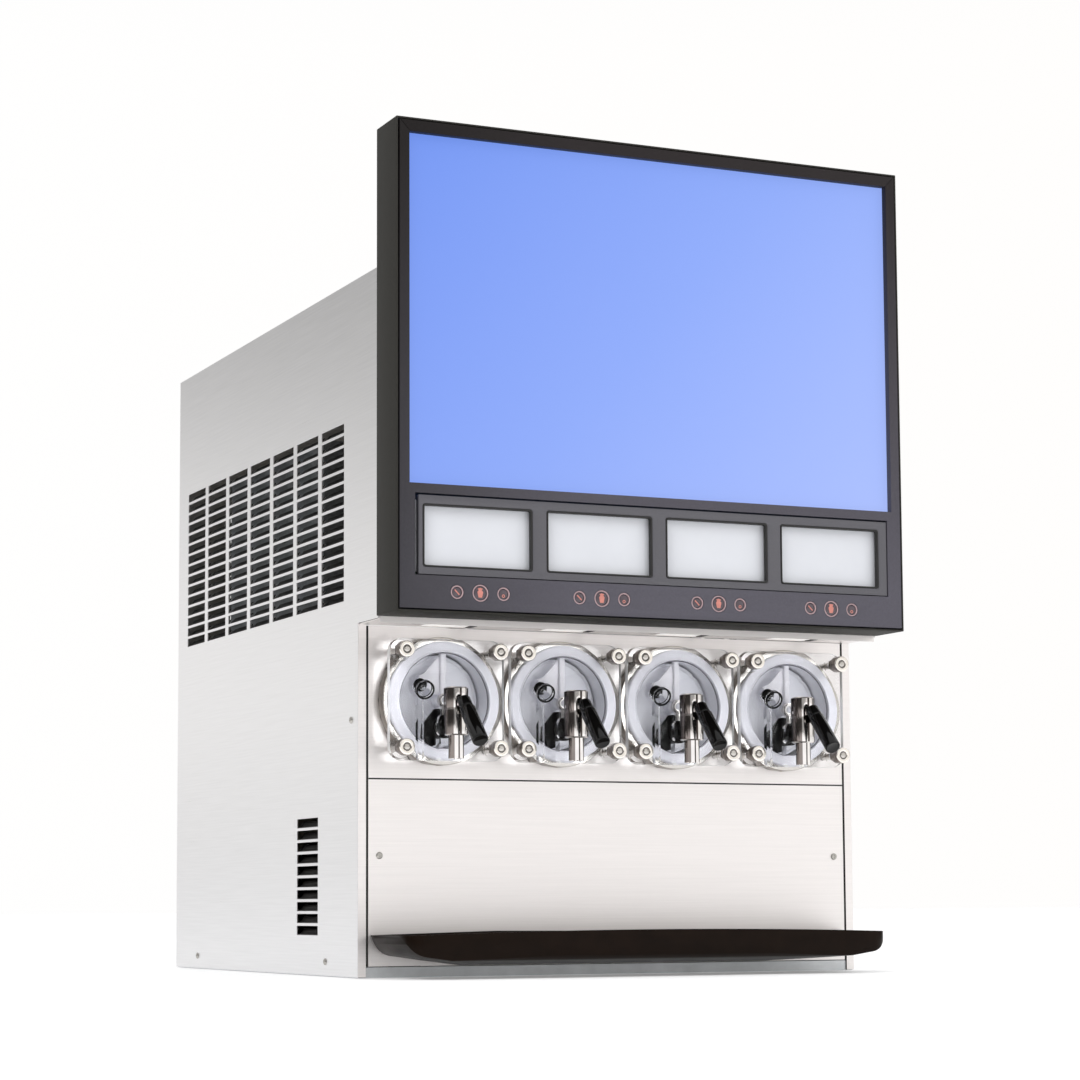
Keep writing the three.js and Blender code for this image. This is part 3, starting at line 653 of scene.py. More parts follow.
tube = turned("barrel_tube", spot(0, cabinet_front, 0), backwards, barrel_profile, 96, closed=True)
mount = block("mount", spot(-72, -355.1, -71), spot(72, -352.1, 71))
combine(mount, turned("hole", spot(0, -360, 0), backwards, [(58.5, 0), (58.5, 12)], 96))
studs = []
for u, v in stud_places:
    stud = turned("stud", spot(u, -352, v), forwards, [(4, 0), (4, 56.6), (3.2, 57.5)], 24)
    studs.append(stud)
first_barrel = joined("freezing_barrel_1", [tube, mount, *studs])
soften(first_barrel, 0.5)
# Painted shade: a dark steel for the outer side of each collar.
collar_side_shade = finish("collar_side_shade", "8b847d", 0.3, 1.0, (200, 200, 200), mottle=0.2)


def barrel_finish(middle, normal):
    """Painted shade, a dark steel, on the collar's side; white inside the chamber, steel elsewhere."""
    radius = math.hypot(middle.x - first_x, middle.z - barrel_z)
    depth = middle.y - cabinet_front
    if 74 < radius < 76 and depth < 1:
        return 1
    return 2 if radius < 57.6 and depth > -14 else 0


paint(first_barrel, [barrel_steel, collar_side_shade, chamber_white], barrel_finish)

# ---------------------------------------------------------------- white face rings
# A white nylon ring seals each face plate to the collar. It is turned, with a small step
# at its bore, and the face plate's screws pinch it.

ring_profile = [(57, -21.6), (58.2, -21.6), (58.8, -20.6), (67.5, -20.6)]
ring_profile += [(69, -19.4), (69, -14.4), (57, -14.4)]
first_ring = turned("sealing_ring_1", spot(0, cabinet_front, 0), backwards, ring_profile, 96, closed=True)
soften(first_ring, 0.5)
glowing_ring_nylon = finish("glowing_ring_nylon", "dcdbe2", 0.42, 0.0, (60, 60, 60), mottle=0.02)
# Painted light: a faint glow brightens the ring, which is no lamp.
shade(glowing_ring_nylon, Emission_Color=(0.95, 0.95, 1, 1), Emission_Strength=0.05)

# ---------------------------------------------------------------- dashers
# The dasher turns inside the barrel. Its front disc and scraper bars are pale plastic on
# a stainless shaft, and the disc fills the barrel's mouth behind the face plate.

disc_profile = [(8, 4), (20, 6.5), (21, 8), (50, 8), (51.5, 6.5), (54, 6.5), (54, 11), (8, 11)]
disc = turned("dasher_disc", spot(0, cabinet_front, 0), backwards, disc_profile, 96, closed=True)
shaft = turned("shaft", spot(0, cabinet_front, 0), backwards, [(6.4, -8), (8, -6.5), (8, 450)], 32)
bars = []
for side in (-1, 1):
    low_x, high_x = sorted((side * 45, side * 54))
    bars.append(block("bar", spot(low_x, -347, -3), spot(high_x, 59, 3)))
for i in range(3):
    y = -357 + 11 + 125 * (i + 1)
    bars.append(block("arm", spot(-46, y, -2.5), spot(46, y + 10, 2.5)))
first_dasher = joined("dasher_assembly_1", [disc, shaft, *bars])
soften(first_dasher, 0.5)

# ---------------------------------------------------------------- face plates
# Each face plate is a square of clear acrylic, 8 mm thick, with rounded corners. A block
# for the valve, a boss for the vent plug and a drain rib are moulded on its front.

plate_front = -387
plate_rear = -379
plug_across = -35
plug_above = 15
port_above = -31


def clear(name, colour, roughness, weight=1.0):
    """A clear moulded finish that lets the lamps shine through."""
    material = finish(name, colour, roughness, 0.0, (80, 80, 80), mottle=0.01, scatter=0.01)
    nodes = material.node_tree.nodes
    link = material.node_tree.links.new
    shader = set_inputs(nodes["Principled BSDF"], Transmission_Weight=weight, IOR=1.22)
    path = add_node(nodes, "LightPath")
    open_air = add_node(nodes, "BsdfTransparent", Color=(0.98, 0.98, 0.985, 1))
    mix = add_node(nodes, "MixShader")
    link(path.outputs["Is Shadow Ray"], mix.inputs["Fac"])
    link(shader.outputs["BSDF"], mix.inputs[1])
    link(open_air.outputs["BSDF"], mix.inputs[2])
    link(mix.outputs["Shader"], nodes["Material Output"].inputs["Surface"])
    return material


clear_acrylic = clear("clear_acrylic", "fafbfc", 0.03)


def rounded_block(name, low, high, axis, radius, segments=8):
    """A block whose edges along one axis are rounded."""
    piece = block(name, low, high)
    open_mesh(piece, "EDGE")
    letter = "XYZ".index(axis)
    pick_edges(lambda middle, direction: abs(direction[letter]) > 0.9)
    bpy.ops.mesh.bevel(offset=radius / 1000, segments=segments, affect="EDGES")
    close_mesh()
    return piece


plate_low, plate_high = spot(-72, plate_front, -71), spot(72, plate_rear, 71)
first_plate = rounded_block("clear_face_plate_1", plate_low, plate_high, "Y", 16)
valve_block = rounded_block("block", spot(-15, -398.3, -71), spot(15, plate_front + 2, -18), "Y", 5)
rib = rounded_block("rib", spot(-40, -394, -70), spot(-32.5, plate_front + 2, 6), "Y", 3)
boss = turned("boss", spot(plug_across, -384, plug_above), forwards, [(13.5, 0), (13.5, 5), (12.5, 6)], 48)
for moulding in (valve_block, rib, boss):
    combine(first_plate, moulding, "UNION")
for u, v in stud_places:
    ring = turned("lobe", spot(u, -380, v), forwards, [(13, 0), (13, 7.6), (12.4, 8.4)], 48)
    combine(first_plate, ring, "UNION")
    hole = turned("hole", spot(u, -376, v), forwards, [(4.4, 0), (4.4, 20)], 32)
    combine(first_plate, hole)
combine(first_plate, turned("port", spot(0, -376, port_above), forwards, [(10.6, 0), (10.6, 30)], 32))
plug_hole = spot(plug_across, -376, plug_above)
combine(first_plate, turned("hole", plug_hole, forwards, [(5.8, 0), (5.8, 20)], 32))
soften(first_plate, 0.8, angle=50)
frosted_edge = clear("frosted_edge", "ffffff", 0.3, 0.55)


def plate_finish(middle, normal):
    """Frosted on the plate's rim, clear elsewhere."""
    on_rim = abs(middle.x - first_x) > 70 or abs(middle.z - barrel_z) > 69
    return 1 if abs(normal.y) < 0.3 and on_rim else 0


paint(first_plate, [clear_acrylic, frosted_edge], plate_finish)

# ---------------------------------------------------------------- baffles and port seals
# Behind each plate a white plastic baffle stands still while the dasher turns. A black
# rubber cup seals the drink port, and a nickel rod joins it to the hub.


def prism(name, axis, low, high, outline):
    """A flat outline in millimetres extruded along an axis."""
    bpy.ops.object.select_all(action="DESELECT")
    bpy.ops.mesh.primitive_circle_add(vertices=len(outline), radius=1, fill_type="NGON")
    piece = bpy.context.active_object
    piece.name = name
    for vertex, (u, v) in zip(piece.data.vertices, outline):
        corner = {"X": (low, u, v), "Y": (u, low, v), "Z": (u, v, low)}[axis]
        vertex.co = mm(*corner)
    open_mesh(piece)
    step = [high - low if letter == axis else 0 for letter in "XYZ"]
    bpy.ops.mesh.extrude_region_move(TRANSFORM_OT_translate={"value": mm(*step)})
    face_outwards()
    return piece


def station_outline(points):
    """An outline drawn from the barrel's axis, put in its place on the first station."""
    return [(first_x + u, barrel_z + v) for u, v in points]


web_outline = [(-3, 53), (-3, 5), (-14, 8), (-31, 25)]
web = prism("web", "Y", -370, -368.4, station_outline(web_outline))
spine = rounded_block("spine", spot(-4, -373.5, 4), spot(4, -366, 55), "Z", 2)
first_baffle = joined("baffle_1", [spine, web])
soften(first_baffle, 0.4)
cup_profile = [(14, 0), (14, 6), (11.5, 7.5), (11.5, 3), (8, 3), (8, 0)]
first_cup = turned("port_seal_1", spot(0, -378.8, port_above), backwards, cup_profile, 64, closed=True)
soften(first_cup, 0.5)
hub_profile = [(4.5, 0), (8.5, 0), (8.5, 6), (4.5, 6)]
hub = turned("hub", spot(0, -378.6, 0), backwards, hub_profile, 48, closed=True)
rod = turned("rod", spot(0, -374, -20), upwards, [(4.2, -10), (4.2, 13)], 32)
first_hub = joined("hub_rod_1", [hub, rod])
soften(first_hub, 0.5)
blade_outline = [(-5, -10), (-12, -10), (-28, -28), (-29, -44), (-17, -54), (-5, -51)]
first_blade = prism("black_blade_1", "Y", -376, -370, station_outline(blade_outline))
soften(first_blade, 0.8)

# ---------------------------------------------------------------- thumb nuts
# A stainless nut on each stud holds the plate: a hexagon at the plate and a round knob in
# front of it, with the stud's end showing in the middle.

nut_steel = finish("nut_steel", "eee9e2", 0.16, 1.0, (150, 150, 150), mottle=0.05)
nut_profile = [(5, 0), (9.7, 0), (9.8, 12.4), (9.1, 13.2), (5.2, 13.2), (4.5, 12.4), (4.5, 0)]
first_nuts = []
for u, v in stud_places:
    knob = turned("knob", spot(u, -396.2, v), forwards, nut_profile, 48, closed=True)
    hexagon = turned("hexagon", spot(u, -388.6, v), forwards, [(7.4, 0), (9, 1.2), (9, 7), (8, 7.6)], 6)
    combine(hexagon, turned("hole", spot(u, -380, v), forwards, [(4.5, 0), (4.5, 20)], 24))
    first_nuts.append(joined("nut", [knob, hexagon]))
first_nut_set = joined("thumb_nuts_1", first_nuts)
soften(first_nut_set, 0.5)
# Painted shade: every face of the nuts that is not turned to the front gets a dark steel.
nut_side_shade = finish("nut_side_shade", "7d746d", 0.28, 1.0, (60, 900, 60), mottle=0.35, relief=0.1)
paint(first_nut_set, [nut_steel, nut_side_shade], lambda middle, normal: 1 if normal.y > -0.3 else 0)

# ---------------------------------------------------------------- vent plugs
# A clear plug pushes into the boss on each plate to let the air out while the barrel
# fills. Two black rubber rings seal it, and it leans down a little to the front.

plug_lean = math.radians(24)
plug_way = (0, -math.cos(plug_lean), -math.sin(plug_lean))
plug_base = spot(plug_across, -389, plug_above + 1.5)
plug_profile = [(2, 5), (3.4, 5), (3.6, 9), (9.6, 11), (10.6, 12)]
plug_profile += [(10.6, 18), (9.5, 18), (9.2, 13), (2, 12)]
first_plug = turned("vent_plug_1", plug_base, plug_way, plug_profile, 64, closed=True)
soften(first_plug, 0.4)
stem_base = spot(plug_across, -380.2, plug_above)
first_stem = turned("vent_stem_1", stem_base, forwards, [(5.2, 0), (5.2, 7.5)], 32)
soften(first_stem, 0.4)


def rubber_ring(name, middle, way, radius, thickness):
    """A round-section rubber ring."""
    bpy.ops.object.select_all(action="DESELECT")
    bpy.ops.mesh.primitive_torus_add(
        major_radius=radius / 1000,
        minor_radius=thickness / 2000,
        major_segments=48,
        minor_segments=10,
        location=mm(*middle),
        rotation=Vector(way).to_track_quat("Z", "Y").to_euler(),
    )
    ring = settle(name)
    bpy.ops.object.shade_smooth()
    return ring


lip_middle = spot(0, cabinet_front - 18, 0)
first_seal = rubber_ring("bore_seal_1", lip_middle, backwards, 56.2, 1.5)
plug_rings = []
for along, radius, thickness in [(12.2, 10.3, 1.4), (17.8, 10.3, 2.1)]:
    middle = Vector(plug_base) + Vector(plug_way) * along
    plug_rings.append(rubber_ring("ring", middle, plug_way, radius, thickness))
first_plug_rings = joined("vent_plug_rings_1", plug_rings)
core_profile = [(5, -5.5), (7, -4), (7.8, -1.6), (7.4, 0.8), (5.2, 2.6), (1.6, 3.4)]
first_ball = turned("vent_plug_core_1", plug_base, plug_way, core_profile, 48)
soften(first_ball, 0.4)

# ---------------------------------------------------------------- valves
# Each dispensing valve has an upright nickel-plated body with a slot for the handle, a
# pivot pin and a narrower spout. A plunger inside it lifts to let the drink out.

valve_y = -413
nickel = finish("nickel", "e2dedb", 0.12, 1.0, (70, 70, 70), mottle=0.05, scatter=0.03)
# Painted reflections: darker copies of the nickel for upright bands on the valve body.
nickel_reflection_grey = finish("nickel_reflection_grey", "857d79", 0.16, 1.0, (70, 70, 70), mottle=0.08, scatter=0.03)
nickel_reflection_dark = finish("nickel_reflection_dark", "4b4441", 0.2, 1.0, (70, 70, 70), mottle=0.08, scatter=0.03)
body_profile = [(9, -69.5), (9, -43), (12.6, -43), (14.3, -41.6), (14.3, -13), (13.7, -12.6)]
body_profile += [(13.7, -11.4), (14.3, -11), (14.3, 11.6), (12.9, 13)]
valve_origin = spot(0, valve_y, 0)
first_valve = turned("valve_housing_1", valve_origin, upwards, body_profile, 64)
combine(first_valve, turned("bore", valve_origin, upwards, [(6, -80), (6, -18), (9, -17), (9, 9.5)], 48))
spigot = turned("spigot", spot(0, -404, port_above), backwards, [(10.2, 0), (10.2, 24.6)], 48)
combine(spigot, turned("bore", spot(0, -405, port_above), backwards, [(5, 0), (5, 30)], 32))
slot_block = rounded_block(
    "slot", spot(-6, valve_y - 20, -19), spot(6, valve_y, 1), "Y", 3
)
combine(first_valve, slot_block)
combine(first_valve, turned("pin", spot(-20, valve_y, -6), (1, 0, 0), [(2.6, 0), (2.6, 40)], 24))
first_valve = joined("valve_housing_1", [first_valve, spigot])
soften(first_valve, 0.4)
reflection_bands = [(-150, -84, 2), (-84, -32, 1), (-6, 7, 2), (38, 150, 2)]


def valve_finish(middle, normal):
    """Painted reflections: upright bands of darker nickel round the turned body, by the way that they
    face.
    """
    bearing = math.degrees(math.atan2(normal.x, -normal.y))
    if abs(normal.z) < 0.5:
        for first_bearing, last_bearing, index in reflection_bands:
            if first_bearing < bearing < last_bearing:
                return index
    return 0


paint(first_valve, [nickel, nickel_reflection_grey, nickel_reflection_dark], valve_finish)
plunger_profile = [(5.6, -41.6), (5.6, -38.6), (3, -37.6), (3, -23), (5.6, -23), (5.6, -15)]
plunger_profile += [(2.5, -15), (2.5, 1), (8.6, 1), (8.6, 4.5)]
first_plunger = turned("plunger_1", valve_origin, upwards, plunger_profile, 32)
soften(first_plunger, 0.3)

# ---------------------------------------------------------------- handles
# A nickel fork pivots in the valve's slot and lifts the plunger. A round glossy black grip
# with a stepped collar is pressed on its stem and hangs down to the front.

hinge_drop = 6


def hinge_spot(across, depth, above):
    """A place measured from the middle of the first handle's hinge."""
    return spot(across, valve_y + depth, above - hinge_drop)


fork_parts = [block("root", hinge_spot(-5.2, -31, -3.5), hinge_spot(5.2, -10, 3.5))]
for side, label in sides:
    low_x, high_x = sorted((side * 3.2, side * 5.2))
    fork_parts.append(block("tine", hinge_spot(low_x, -12, -2.5), hinge_spot(high_x, 5.5, 2.5)))
    fork_parts.append(turned("pin", hinge_spot(side * 3.2, 0, 0), (side, 0, 0), [(2, 0), (2, 10.7)], 24))
first_fork = joined("handle_fork_1", fork_parts)
soften(first_fork, 0.5)
grip_way = (0, -math.sqrt(0.5), -math.sqrt(0.5))
grip_base = hinge_spot(0, -28, -2.4)
grip_profile = [(5.2, -8.5), (6.6, -8.5), (7.9, -7), (7.9, 6.5), (7.2, 7.2), (7.2, 8.4)]
grip_profile += [(9, 9), (9.3, 10), (9.3, 61.6), (8.4, 62.8), (7.6, 62.4)]
first_grip = turned("handle_grip_1", grip_base, grip_way, grip_profile, 64)
soften(first_grip, 0.5, 3)
grip_black = finish("grip_black", "080707", 0.09, 0.0, (50, 50, 50), mottle=0.1, scatter=0.03)
shade(grip_black, Specular_IOR_Level=0.35)
seal_black = finish("seal_black", "080707", 0.3, 0.0, (80, 80, 80))
shade(seal_black, Specular_IOR_Level=0.12)
seal_grey = finish("seal_grey", "6f6d76", 0.4, 0.0, (80, 80, 80))
baffle_white = finish("baffle_white", "eceaf0", 0.35, 0.0, (50, 50, 50), mottle=0.02)

station = [
    (first_barrel, "freezing_barrel", barrel_steel, "cabinet", "stainless_barrel", "barrel"),
    (first_ring, "sealing_ring", glowing_ring_nylon, "cabinet", "white_plastic", "face_ring"),
    (first_seal, "bore_seal", seal_grey, "cabinet", "white_plastic", None),
    (first_dasher, "dasher_assembly", chamber_white, "dasher", "stainless_barrel", "dasher"),
    (first_plate, "clear_face_plate", clear_acrylic, "cabinet", "clear_plastic", "face_plate"),
    (first_baffle, "baffle", baffle_white, "cabinet", "white_plastic", None),
    (first_cup, "port_seal", seal_black, "cabinet", "black_plastic", None),
    (first_hub, "hub_rod", nickel, "cabinet", "nickel", None),
    (first_blade, "black_blade", seal_black, "cabinet", "black_plastic", None),
    (first_nut_set, "thumb_nuts", nut_steel, "cabinet", "nickel", None),
    (first_plug, "vent_plug", clear_acrylic, "relief_valve", "clear_plastic", "relief_valve"),
    (first_stem, "vent_stem", clear_acrylic, "relief_valve", "clear_plastic", None),
    (first_plug_rings, "vent_plug_rings", seal_black, "relief_valve", "black_plastic", None),
    (first_ball, "vent_plug_core", seal_black, "relief_valve", "black_plastic", None),
    (first_valve, "valve_housing", nickel, "cabinet", "nickel", "valve_body"),
    (first_plunger, "plunger", barrel_steel, "valve_plunger", "stainless_barrel", "valve_plunger"),
    (first_fork, "handle_fork", nickel, "valve_handle", "nickel", "valve_handle"),
    (first_grip, "handle_grip", grip_black, "valve_handle", "black_plastic", "valve_handle"),
]
for first, name, material, body, slot, node in station:
    copies = [first]
    for i in range(1, 4):
        copies.append(copied(first, f"{name}_{i + 1}", (barrel_pitch * i, 0, 0)))
    for i, piece in enumerate(copies):
        piece_body = body if body == "cabinet" else f"{body}_{i + 1}"
        replaced = [f"{node}_{i + 1}"] if node else []
        fit(piece, material, piece_body, slot, *replaced)

# ---------------------------------------------------------------- header housing
# The display header is a box of folded sheet with a dark textured powder coat. Its front
# edges are folded in as a narrow frame, mitred at the corners.

header_x = 332
header_low = 412.5
header_high = 981.5
header_paint = finish(
    "header_paint", "2d2c29", 0.66, 0.0, (700, 700, 700), mottle=0.22, scatter=0.1, relief=0.12
)
shade(header_paint, Specular_IOR_Level=0.15)
housing = block("header_case", (-header_x, -485.6, header_low), (header_x, -422, header_high))
combine(housing, block("hollow", (-330, -500, header_low + 2), (330, -424, header_high - 2)))
soften(housing, 0.8)
fit(housing, header_paint, "cabinet", "header_paint", "header_housing")

# ---------------------------------------------------------------- header front frame
# A moulded front with a fine texture surrounds the screen, the flavour cards and three
# lamps for each barrel.

fascia_low = header_low + 3.6
fascia_high = header_high - 3.6
screen_low = header_low + 146
screen_high = header_low + 552.5
lamp_z = header_low + 23.5
lamp_spacing = 28.7
lamp_sizes = [8.2, 10.2, 8.2]
fascia_grey = finish(
    "fascia_grey", "4e4c54", 0.5, 0.0, (420, 420, 420), mottle=0.06, scatter=0.06, relief=0.04
)
fascia_nodes = fascia_grey.node_tree.nodes
fascia_link = fascia_grey.node_tree.links.new
fascia_shader = set_inputs(fascia_nodes["Principled BSDF"], Specular_IOR_Level=0.2)
fascia_colour = fascia_shader.inputs["Base Color"].links[0].from_socket
fascia_place = add_node(fascia_nodes, "TexCoord")
fascia_split = add_node(fascia_nodes, "SeparateXYZ")
fascia_link(fascia_place.outputs["Object"], fascia_split.inputs[0])
# Painted shade: the front's colour darkens towards its left end, and strongly towards its top.
for axis, first, last, darkest in [
    ("X", -0.1, -0.33, (0.5, 0.5, 0.48, 1)),
    ("Z", 0.45, 0.95, (0.2, 0.165, 0.14, 1)),
]:
    shade_fade = add_node(fascia_nodes, "MapRange", From_Min=first, From_Max=last)
    painted_shade = add_multiply(fascia_nodes, Color2=darkest)
    fascia_link(fascia_split.outputs[axis], shade_fade.inputs["Value"])
    fascia_link(shade_fade.outputs["Result"], painted_shade.inputs["Fac"])
    fascia_link(fascia_colour, painted_shade.inputs["Color1"])
    fascia_colour = painted_shade.outputs["Color"]
fascia_link(fascia_colour, fascia_shader.inputs["Base Color"])
fascia = block("header_front", (-328.4, -486.6, fascia_low), (328.4, -477.6, fascia_high))
combine(fascia, block("opening", (-316.6, -500, screen_low), (316.6, -470, screen_high)))
combine(fascia, block("opening", (-310, -500, header_low + 41.5), (310, -470, header_low + 135)))
for x in barrel_x:
    for i, size in enumerate(lamp_sizes):
        lamp_x = x + (i - 1) * lamp_spacing
        combine(fascia, turned("hole", (lamp_x, -470, lamp_z), forwards, [(size, 0), (size, 30)], 40))
for side in (-1, 1):
    mitre = [(328.9, 978.4), (316.1, 964.6), (315.6, 965.1), (328.4, 978.9)]
    outline = [(side * u, v) for u, v in mitre]
    combine(fascia, prism("mitre", "Y", -490, -485.9, outline))
soften(fascia, 0.3)
fit(fascia, fascia_grey, "cabinet", "fascia_plastic", "header_fascia")

# ---------------------------------------------------------------- screen
# A flat backlit panel shows plain blue, with a painted sheen that lightens it from its
# upper left to its lower right. Its edge runs round under the frame.

display = block("screen_panel", (-322.6, -477.2, header_low + 140), (322.6, -457.2, header_low + 558.5))
soften(display, 0.6)
screen_blue = finish("screen_blue", "7c9af2", 0.6, 0.0, (55, 55, 55), mottle=0.05, scatter=0.03)
screen_nodes = screen_blue.node_tree.nodes
screen_link = screen_blue.node_tree.links.new
screen_shader = set_inputs(
    screen_nodes["Principled BSDF"], Emission_Strength=0.86, Base_Color=tint("20305c")
)
screen_blue.node_tree.links.remove(screen_shader.inputs["Base Color"].links[0])
# Painted sheen: the emitted blue lightens along a slant from the upper left to the lower right.
screen_place = add_node(screen_nodes, "TexCoord")
screen_turn = add_node(screen_nodes, "Mapping", Rotation=(0, math.radians(-40), 0))
screen_split = add_node(screen_nodes, "SeparateXYZ")
screen_sheen_fade = add_node(screen_nodes, "MapRange", From_Min=-0.87, From_Max=-0.11)
screen_blue_and_sheen = add_ramp(screen_nodes, [(0, tint("7194ee")), (0.5, tint("8fabf6")), (1, tint("b0c3fd"))])
screen_link(screen_place.outputs["Object"], screen_turn.inputs["Vector"])
screen_link(screen_turn.outputs["Vector"], screen_split.inputs[0])
screen_link(screen_split.outputs["X"], screen_sheen_fade.inputs["Value"])
screen_link(screen_sheen_fade.outputs["Result"], screen_blue_and_sheen.inputs["Fac"])
screen_link(screen_blue_and_sheen.outputs["Color"], screen_shader.inputs["Emission Color"])
fit(display, screen_blue, "cabinet", "screen", "display_panel")

# ---------------------------------------------------------------- flavour cards
# Below the screen a plastic holder has a window for each of four cards, which are lit
# from behind through a white sheet.

holder = block("card_holder", (-305.6, -486, header_low + 42.5), (309, -478.6, header_low + 133))
card_x = [(i - 1.5) * 153.9 - 1.5 for i in range(4)]


def card_window(name, x, inset, front, rear, radius):
    """A block in the shape of a card's window, a little smaller all round."""
    low = (x - 68 + inset, front, header_low + 51 + inset)
    high = (x + 68 - inset, rear, header_low + 123 - inset)
    return rounded_block(name, low, high, "Y", radius, 4)


for x in card_x:
    combine(holder, card_window("window", x, 0, -500, -470, 3))
soften(holder, 0.8)
for i, x in enumerate(card_x):
    bead = card_window(f"card_bead_{i + 1}", x, 0.2, -486.4, -480, 3)
    combine(bead, card_window("hole", x, 2, -500, -470, 2))
    soften(bead, 0.3)
    fit(bead, recess_black, "cabinet", "fascia_plastic")
holder_grey = finish("holder_grey", "4c4b50", 0.4, 0.0, (420, 420, 420), mottle=0.05, relief=0.03)
fit(holder, holder_grey, "cabinet", "fascia_plastic", "flavour_frame")
card_white = finish("card_white", "c4c6cb", 0.5, 0.0, (30, 30, 30), mottle=0.015)
shade(card_white, Emission_Color=(1, 1, 1, 1), Emission_Strength=0.02)
dress(card_white, "flavour_diffuser")
circuit = finish("circuit_board", "1e5b3a", 0.45, 0.0, (250, 250, 250), mottle=0.3)
dress(circuit, "lamp_board")

# ---------------------------------------------------------------- lamps
# Three tinted lamps for each barrel, each in a thin rim, with a plain picture moulded in
# its lens: a stroke, a cup and a ring.

rim_pink = finish("rim_pink", "a88f92", 0.4, 0.0, (200, 200, 200))
lens_tint = finish("lens_tint", "4a4248", 0.25, 0.0, (200, 200, 200), mottle=0.1)
icon_red = finish("icon_red", "b8756a", 0.5, 0.0, (200, 200, 200), mottle=0.1)
for b, x in enumerate(barrel_x):
    for i, size in enumerate(lamp_sizes):
        label = f"{b + 1}_{i + 1}"
        lamp_x = x + (i - 1) * lamp_spacing
        base = (lamp_x, -479, lamp_z)
        rim_profile = [(size - 1.8, 0), (size - 0.5, 0), (size - 0.5, 7.2), (size - 1.8, 7.2)]
        rim = turned(f"lamp_rim_{label}", base, forwards, rim_profile, 48, closed=True)
        soften(rim, 0.3)
        fit(rim, rim_pink, "cabinet", "white_plastic")
        lens_profile = [(size - 2, 0), (size - 2, 5.6), (size - 3.4, 6.4)]
        lens = turned(f"lamp_lens_{label}", base, forwards, lens_profile, 48)
        soften(lens, 0.3)
        fit(lens, lens_tint, "cabinet", "clear_plastic")
        top = -479 - 6.4
        if i == 0:
            icon = block(f"lamp_icon_{label}", (-0.7, top - 0.5, -4), (0.7, top + 0.4, 4))
            icon.data.transform(Matrix.Rotation(math.radians(-45), 4, "Y"))
            icon.data.transform(Matrix.Translation(mm(lamp_x, 0, lamp_z)))
        elif i == 1:
            half_cup = [(2.2, -5), (3.6, 1.5), (1.8, 3.4), (3.2, 5.2)]
            cup = half_cup + [(0, 6.2)] + [(-u, v) for u, v in reversed(half_cup)]
            outline = [(lamp_x + u, lamp_z + v) for u, v in cup]
            icon = prism(f"lamp_icon_{label}", "Y", top - 0.5, top + 0.4, outline)
        else:
            dot = [(1, -0.4), (1.9, -0.4), (1.9, 0.5), (1, 0.5)]
            middle = (lamp_x, top, lamp_z - 2.2)
            icon = turned(f"lamp_icon_{label}", middle, forwards, dot, 24, closed=True)
        soften(icon, 0.15, segments=1)
        fit(icon, icon_red, "cabinet", "white_plastic")

# ---------------------------------------------------------------- drip tray
# A glossy dark moulded tray hangs on the splash panel. Its front bows forward and leans
# outwards, and its rim rises a little in the middle.

tray_x = 314
tray_rear = -358
tray_corner_y = -467
tray_bow = 15
tray_wall = 3
tray_rim = 49
tray_arch = 5


def bezier(start, control, end, steps):
    """Points along a curved corner, without its first."""
    points = []
    for i in range(1, steps + 1):
        t = i / steps
        pull = ((1 - t) ** 2, 2 * t * (1 - t), t * t)
        triples = zip(start, control, end)
        points.append(tuple(pull[0] * a + pull[1] * b + pull[2] * c for a, b, c in triples))
    return points


def tray_plan(inset):
    """The tray's outline from above: a straight back and a bowed front."""
    corner = 22 - inset
    half = tray_x - inset
    front = tray_corner_y + inset
    points = [(half, tray_rear - inset), (-half, tray_rear - inset), (-half, front + corner)]
    points += bezier((-half, front + corner), (-half, front), (corner - half, front - 3), 10)
    middle = (0, front - 2 * tray_bow)
    points += bezier((corner - half, front - 3), middle, (half - corner, front - 3), 48)
    points += bezier((half - corner, front - 3), (half, front), (half, front + corner), 10)
    return points


def tray_section(inset, top):
    """The tray's section: the floor falls to the back and the front leans out."""
    rear = tray_rear + 40
    front = tray_corner_y - tray_bow + inset
    points = [(rear, 12.5 + inset), (rear, top), (front - 8, top)]
    points += [(front - 0.5, 27 + inset)]
    points += bezier((front - 0.5, 27 + inset), (front + 1.5, 21 + inset), (front + 9, 20 + inset), 10)
    return points + [(front + 40, 17.5 + inset), (tray_rear, 12.5 + inset)]


def tray_ends(inset, top):
    """The tray's outline from the front: its lower corners are rounded."""
    half = tray_x - inset
    low = 12.5 + inset
    points = [(half, top), (-half, top), (-half, 48)]
    points += bezier((-half, 48), (-half + 7, low + 14.5), (-half + 24, low + 12), 12)
    points += [(-half + 60, low + 6.5), (-half + 110, low), (half - 110, low), (half - 60, low + 6.5)]
    points += [(half - 24, low + 12)]
    points += bezier((half - 24, low + 12), (half - 7, low + 14.5), (half, 48), 12)
    return points


def tray_solid(name, inset, bottom, top):
    """The plan and the section crossed with each other."""
    body = prism(name, "Z", bottom, top, tray_plan(inset))
    combine(body, prism("section", "X", -tray_x - 1, tray_x + 1, tray_section(inset, top)), "INTERSECT")
    combine(body, prism("ends", "Y", -500, tray_rear + 60, tray_ends(inset, top)), "INTERSECT")
    return body


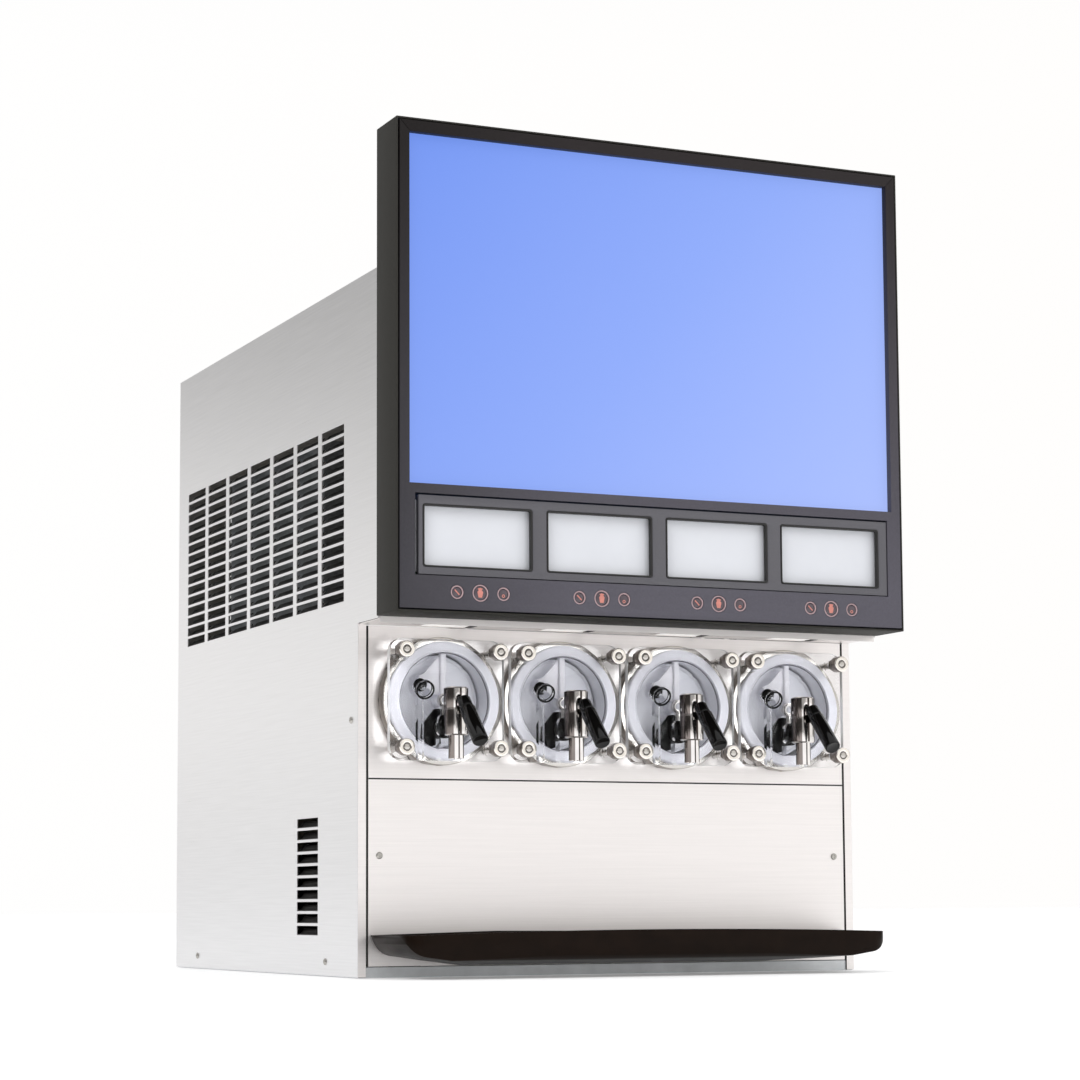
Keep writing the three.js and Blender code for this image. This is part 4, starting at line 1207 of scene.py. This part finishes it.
tray = tray_solid("tray", 0, 0, tray_rim)
combine(tray, tray_solid("hollow", tray_wall, 1, 2 * tray_rim))
for vertex in tray.data.vertices:
    across = vertex.co.x * 1000 / tray_x
    vertex.co.z += tray_arch / 1000 * (1 - across * across) * vertex.co.z * 1000 / tray_rim
tray.name = "tray_moulding"
soften(tray, 0.7, angle=40)
tray_black = finish("tray_black", "140c07", 0.34, 0.0, (40, 40, 40), mottle=0.2, scatter=0.05)
shade(tray_black, Specular_IOR_Level=0.07)
fit(tray, tray_black, "drip_tray", "tray_plastic", "drip_tray")

# ---------------------------------------------------------------- cup grid
# A punched stainless grid lies in the tray. Its slots run across the tray in rows.

grid = sheet("cup_grate", "Z", 39, (-296, -457), (296, -365))
grid_rows = [(-449 + 14.5 * i, -441 + 14.5 * i) for i in range(6)]
grid_columns = [((i - 1.5) * 146 - 66, (i - 1.5) * 146 + 66) for i in range(4)]
open_mesh(grid)
for edge in [edge for row in grid_rows for edge in row]:
    cut("Y", edge)
for edge in [edge for column in grid_columns for edge in column]:
    cut("X", edge)
pick_faces(
    lambda middle, normal: any(a < middle.y < b for a, b in grid_rows)
    and any(a < middle.x < b for a, b in grid_columns)
)
bpy.ops.mesh.delete(type="ONLY_FACE")
close_mesh()
apply(grid, "SOLIDIFY", thickness=0.003, offset=-1)
soften(grid, 0.8)
grid_steel = finish("grid_steel", "c4c1bc", 0.28, 1.0, (10, 300, 10), mottle=0.04)
fit(grid, grid_steel, "cup_grid", "grid_steel", "cup_grid")

# ---------------------------------------------------------------- machinery
# Inside the cabinet: the foamed block round the barrels, their geared motors, the
# compressor with its condenser and fan, the control box and the carbonator tank.

foam = finish("foam", "e2d6a6", 0.9, 0.0, (90, 90, 90), mottle=0.1, relief=0.5)
cast_aluminium = finish("cast_aluminium", "9da0a3", 0.5, 0.9, (180, 180, 180), mottle=0.12, relief=0.15)
compressor_paint = finish("compressor_paint", "17181a", 0.35, 0.0, (120, 120, 120), mottle=0.15)
tank_steel = finish("tank_steel", "c4c7c9", 0.22, 1.0, (12, 12, 220))
dress(foam, "barrel_insulation")
dress(cast_aluminium, "condenser", *[f"gear_motor_{i + 1}" for i in range(4)])
dress(compressor_paint, "compressor")
dress(galvanised, "control_box")
dress(black_moulding, "fan_shroud", "fan_rotor")
dress(tank_steel, "carbonator_tank")
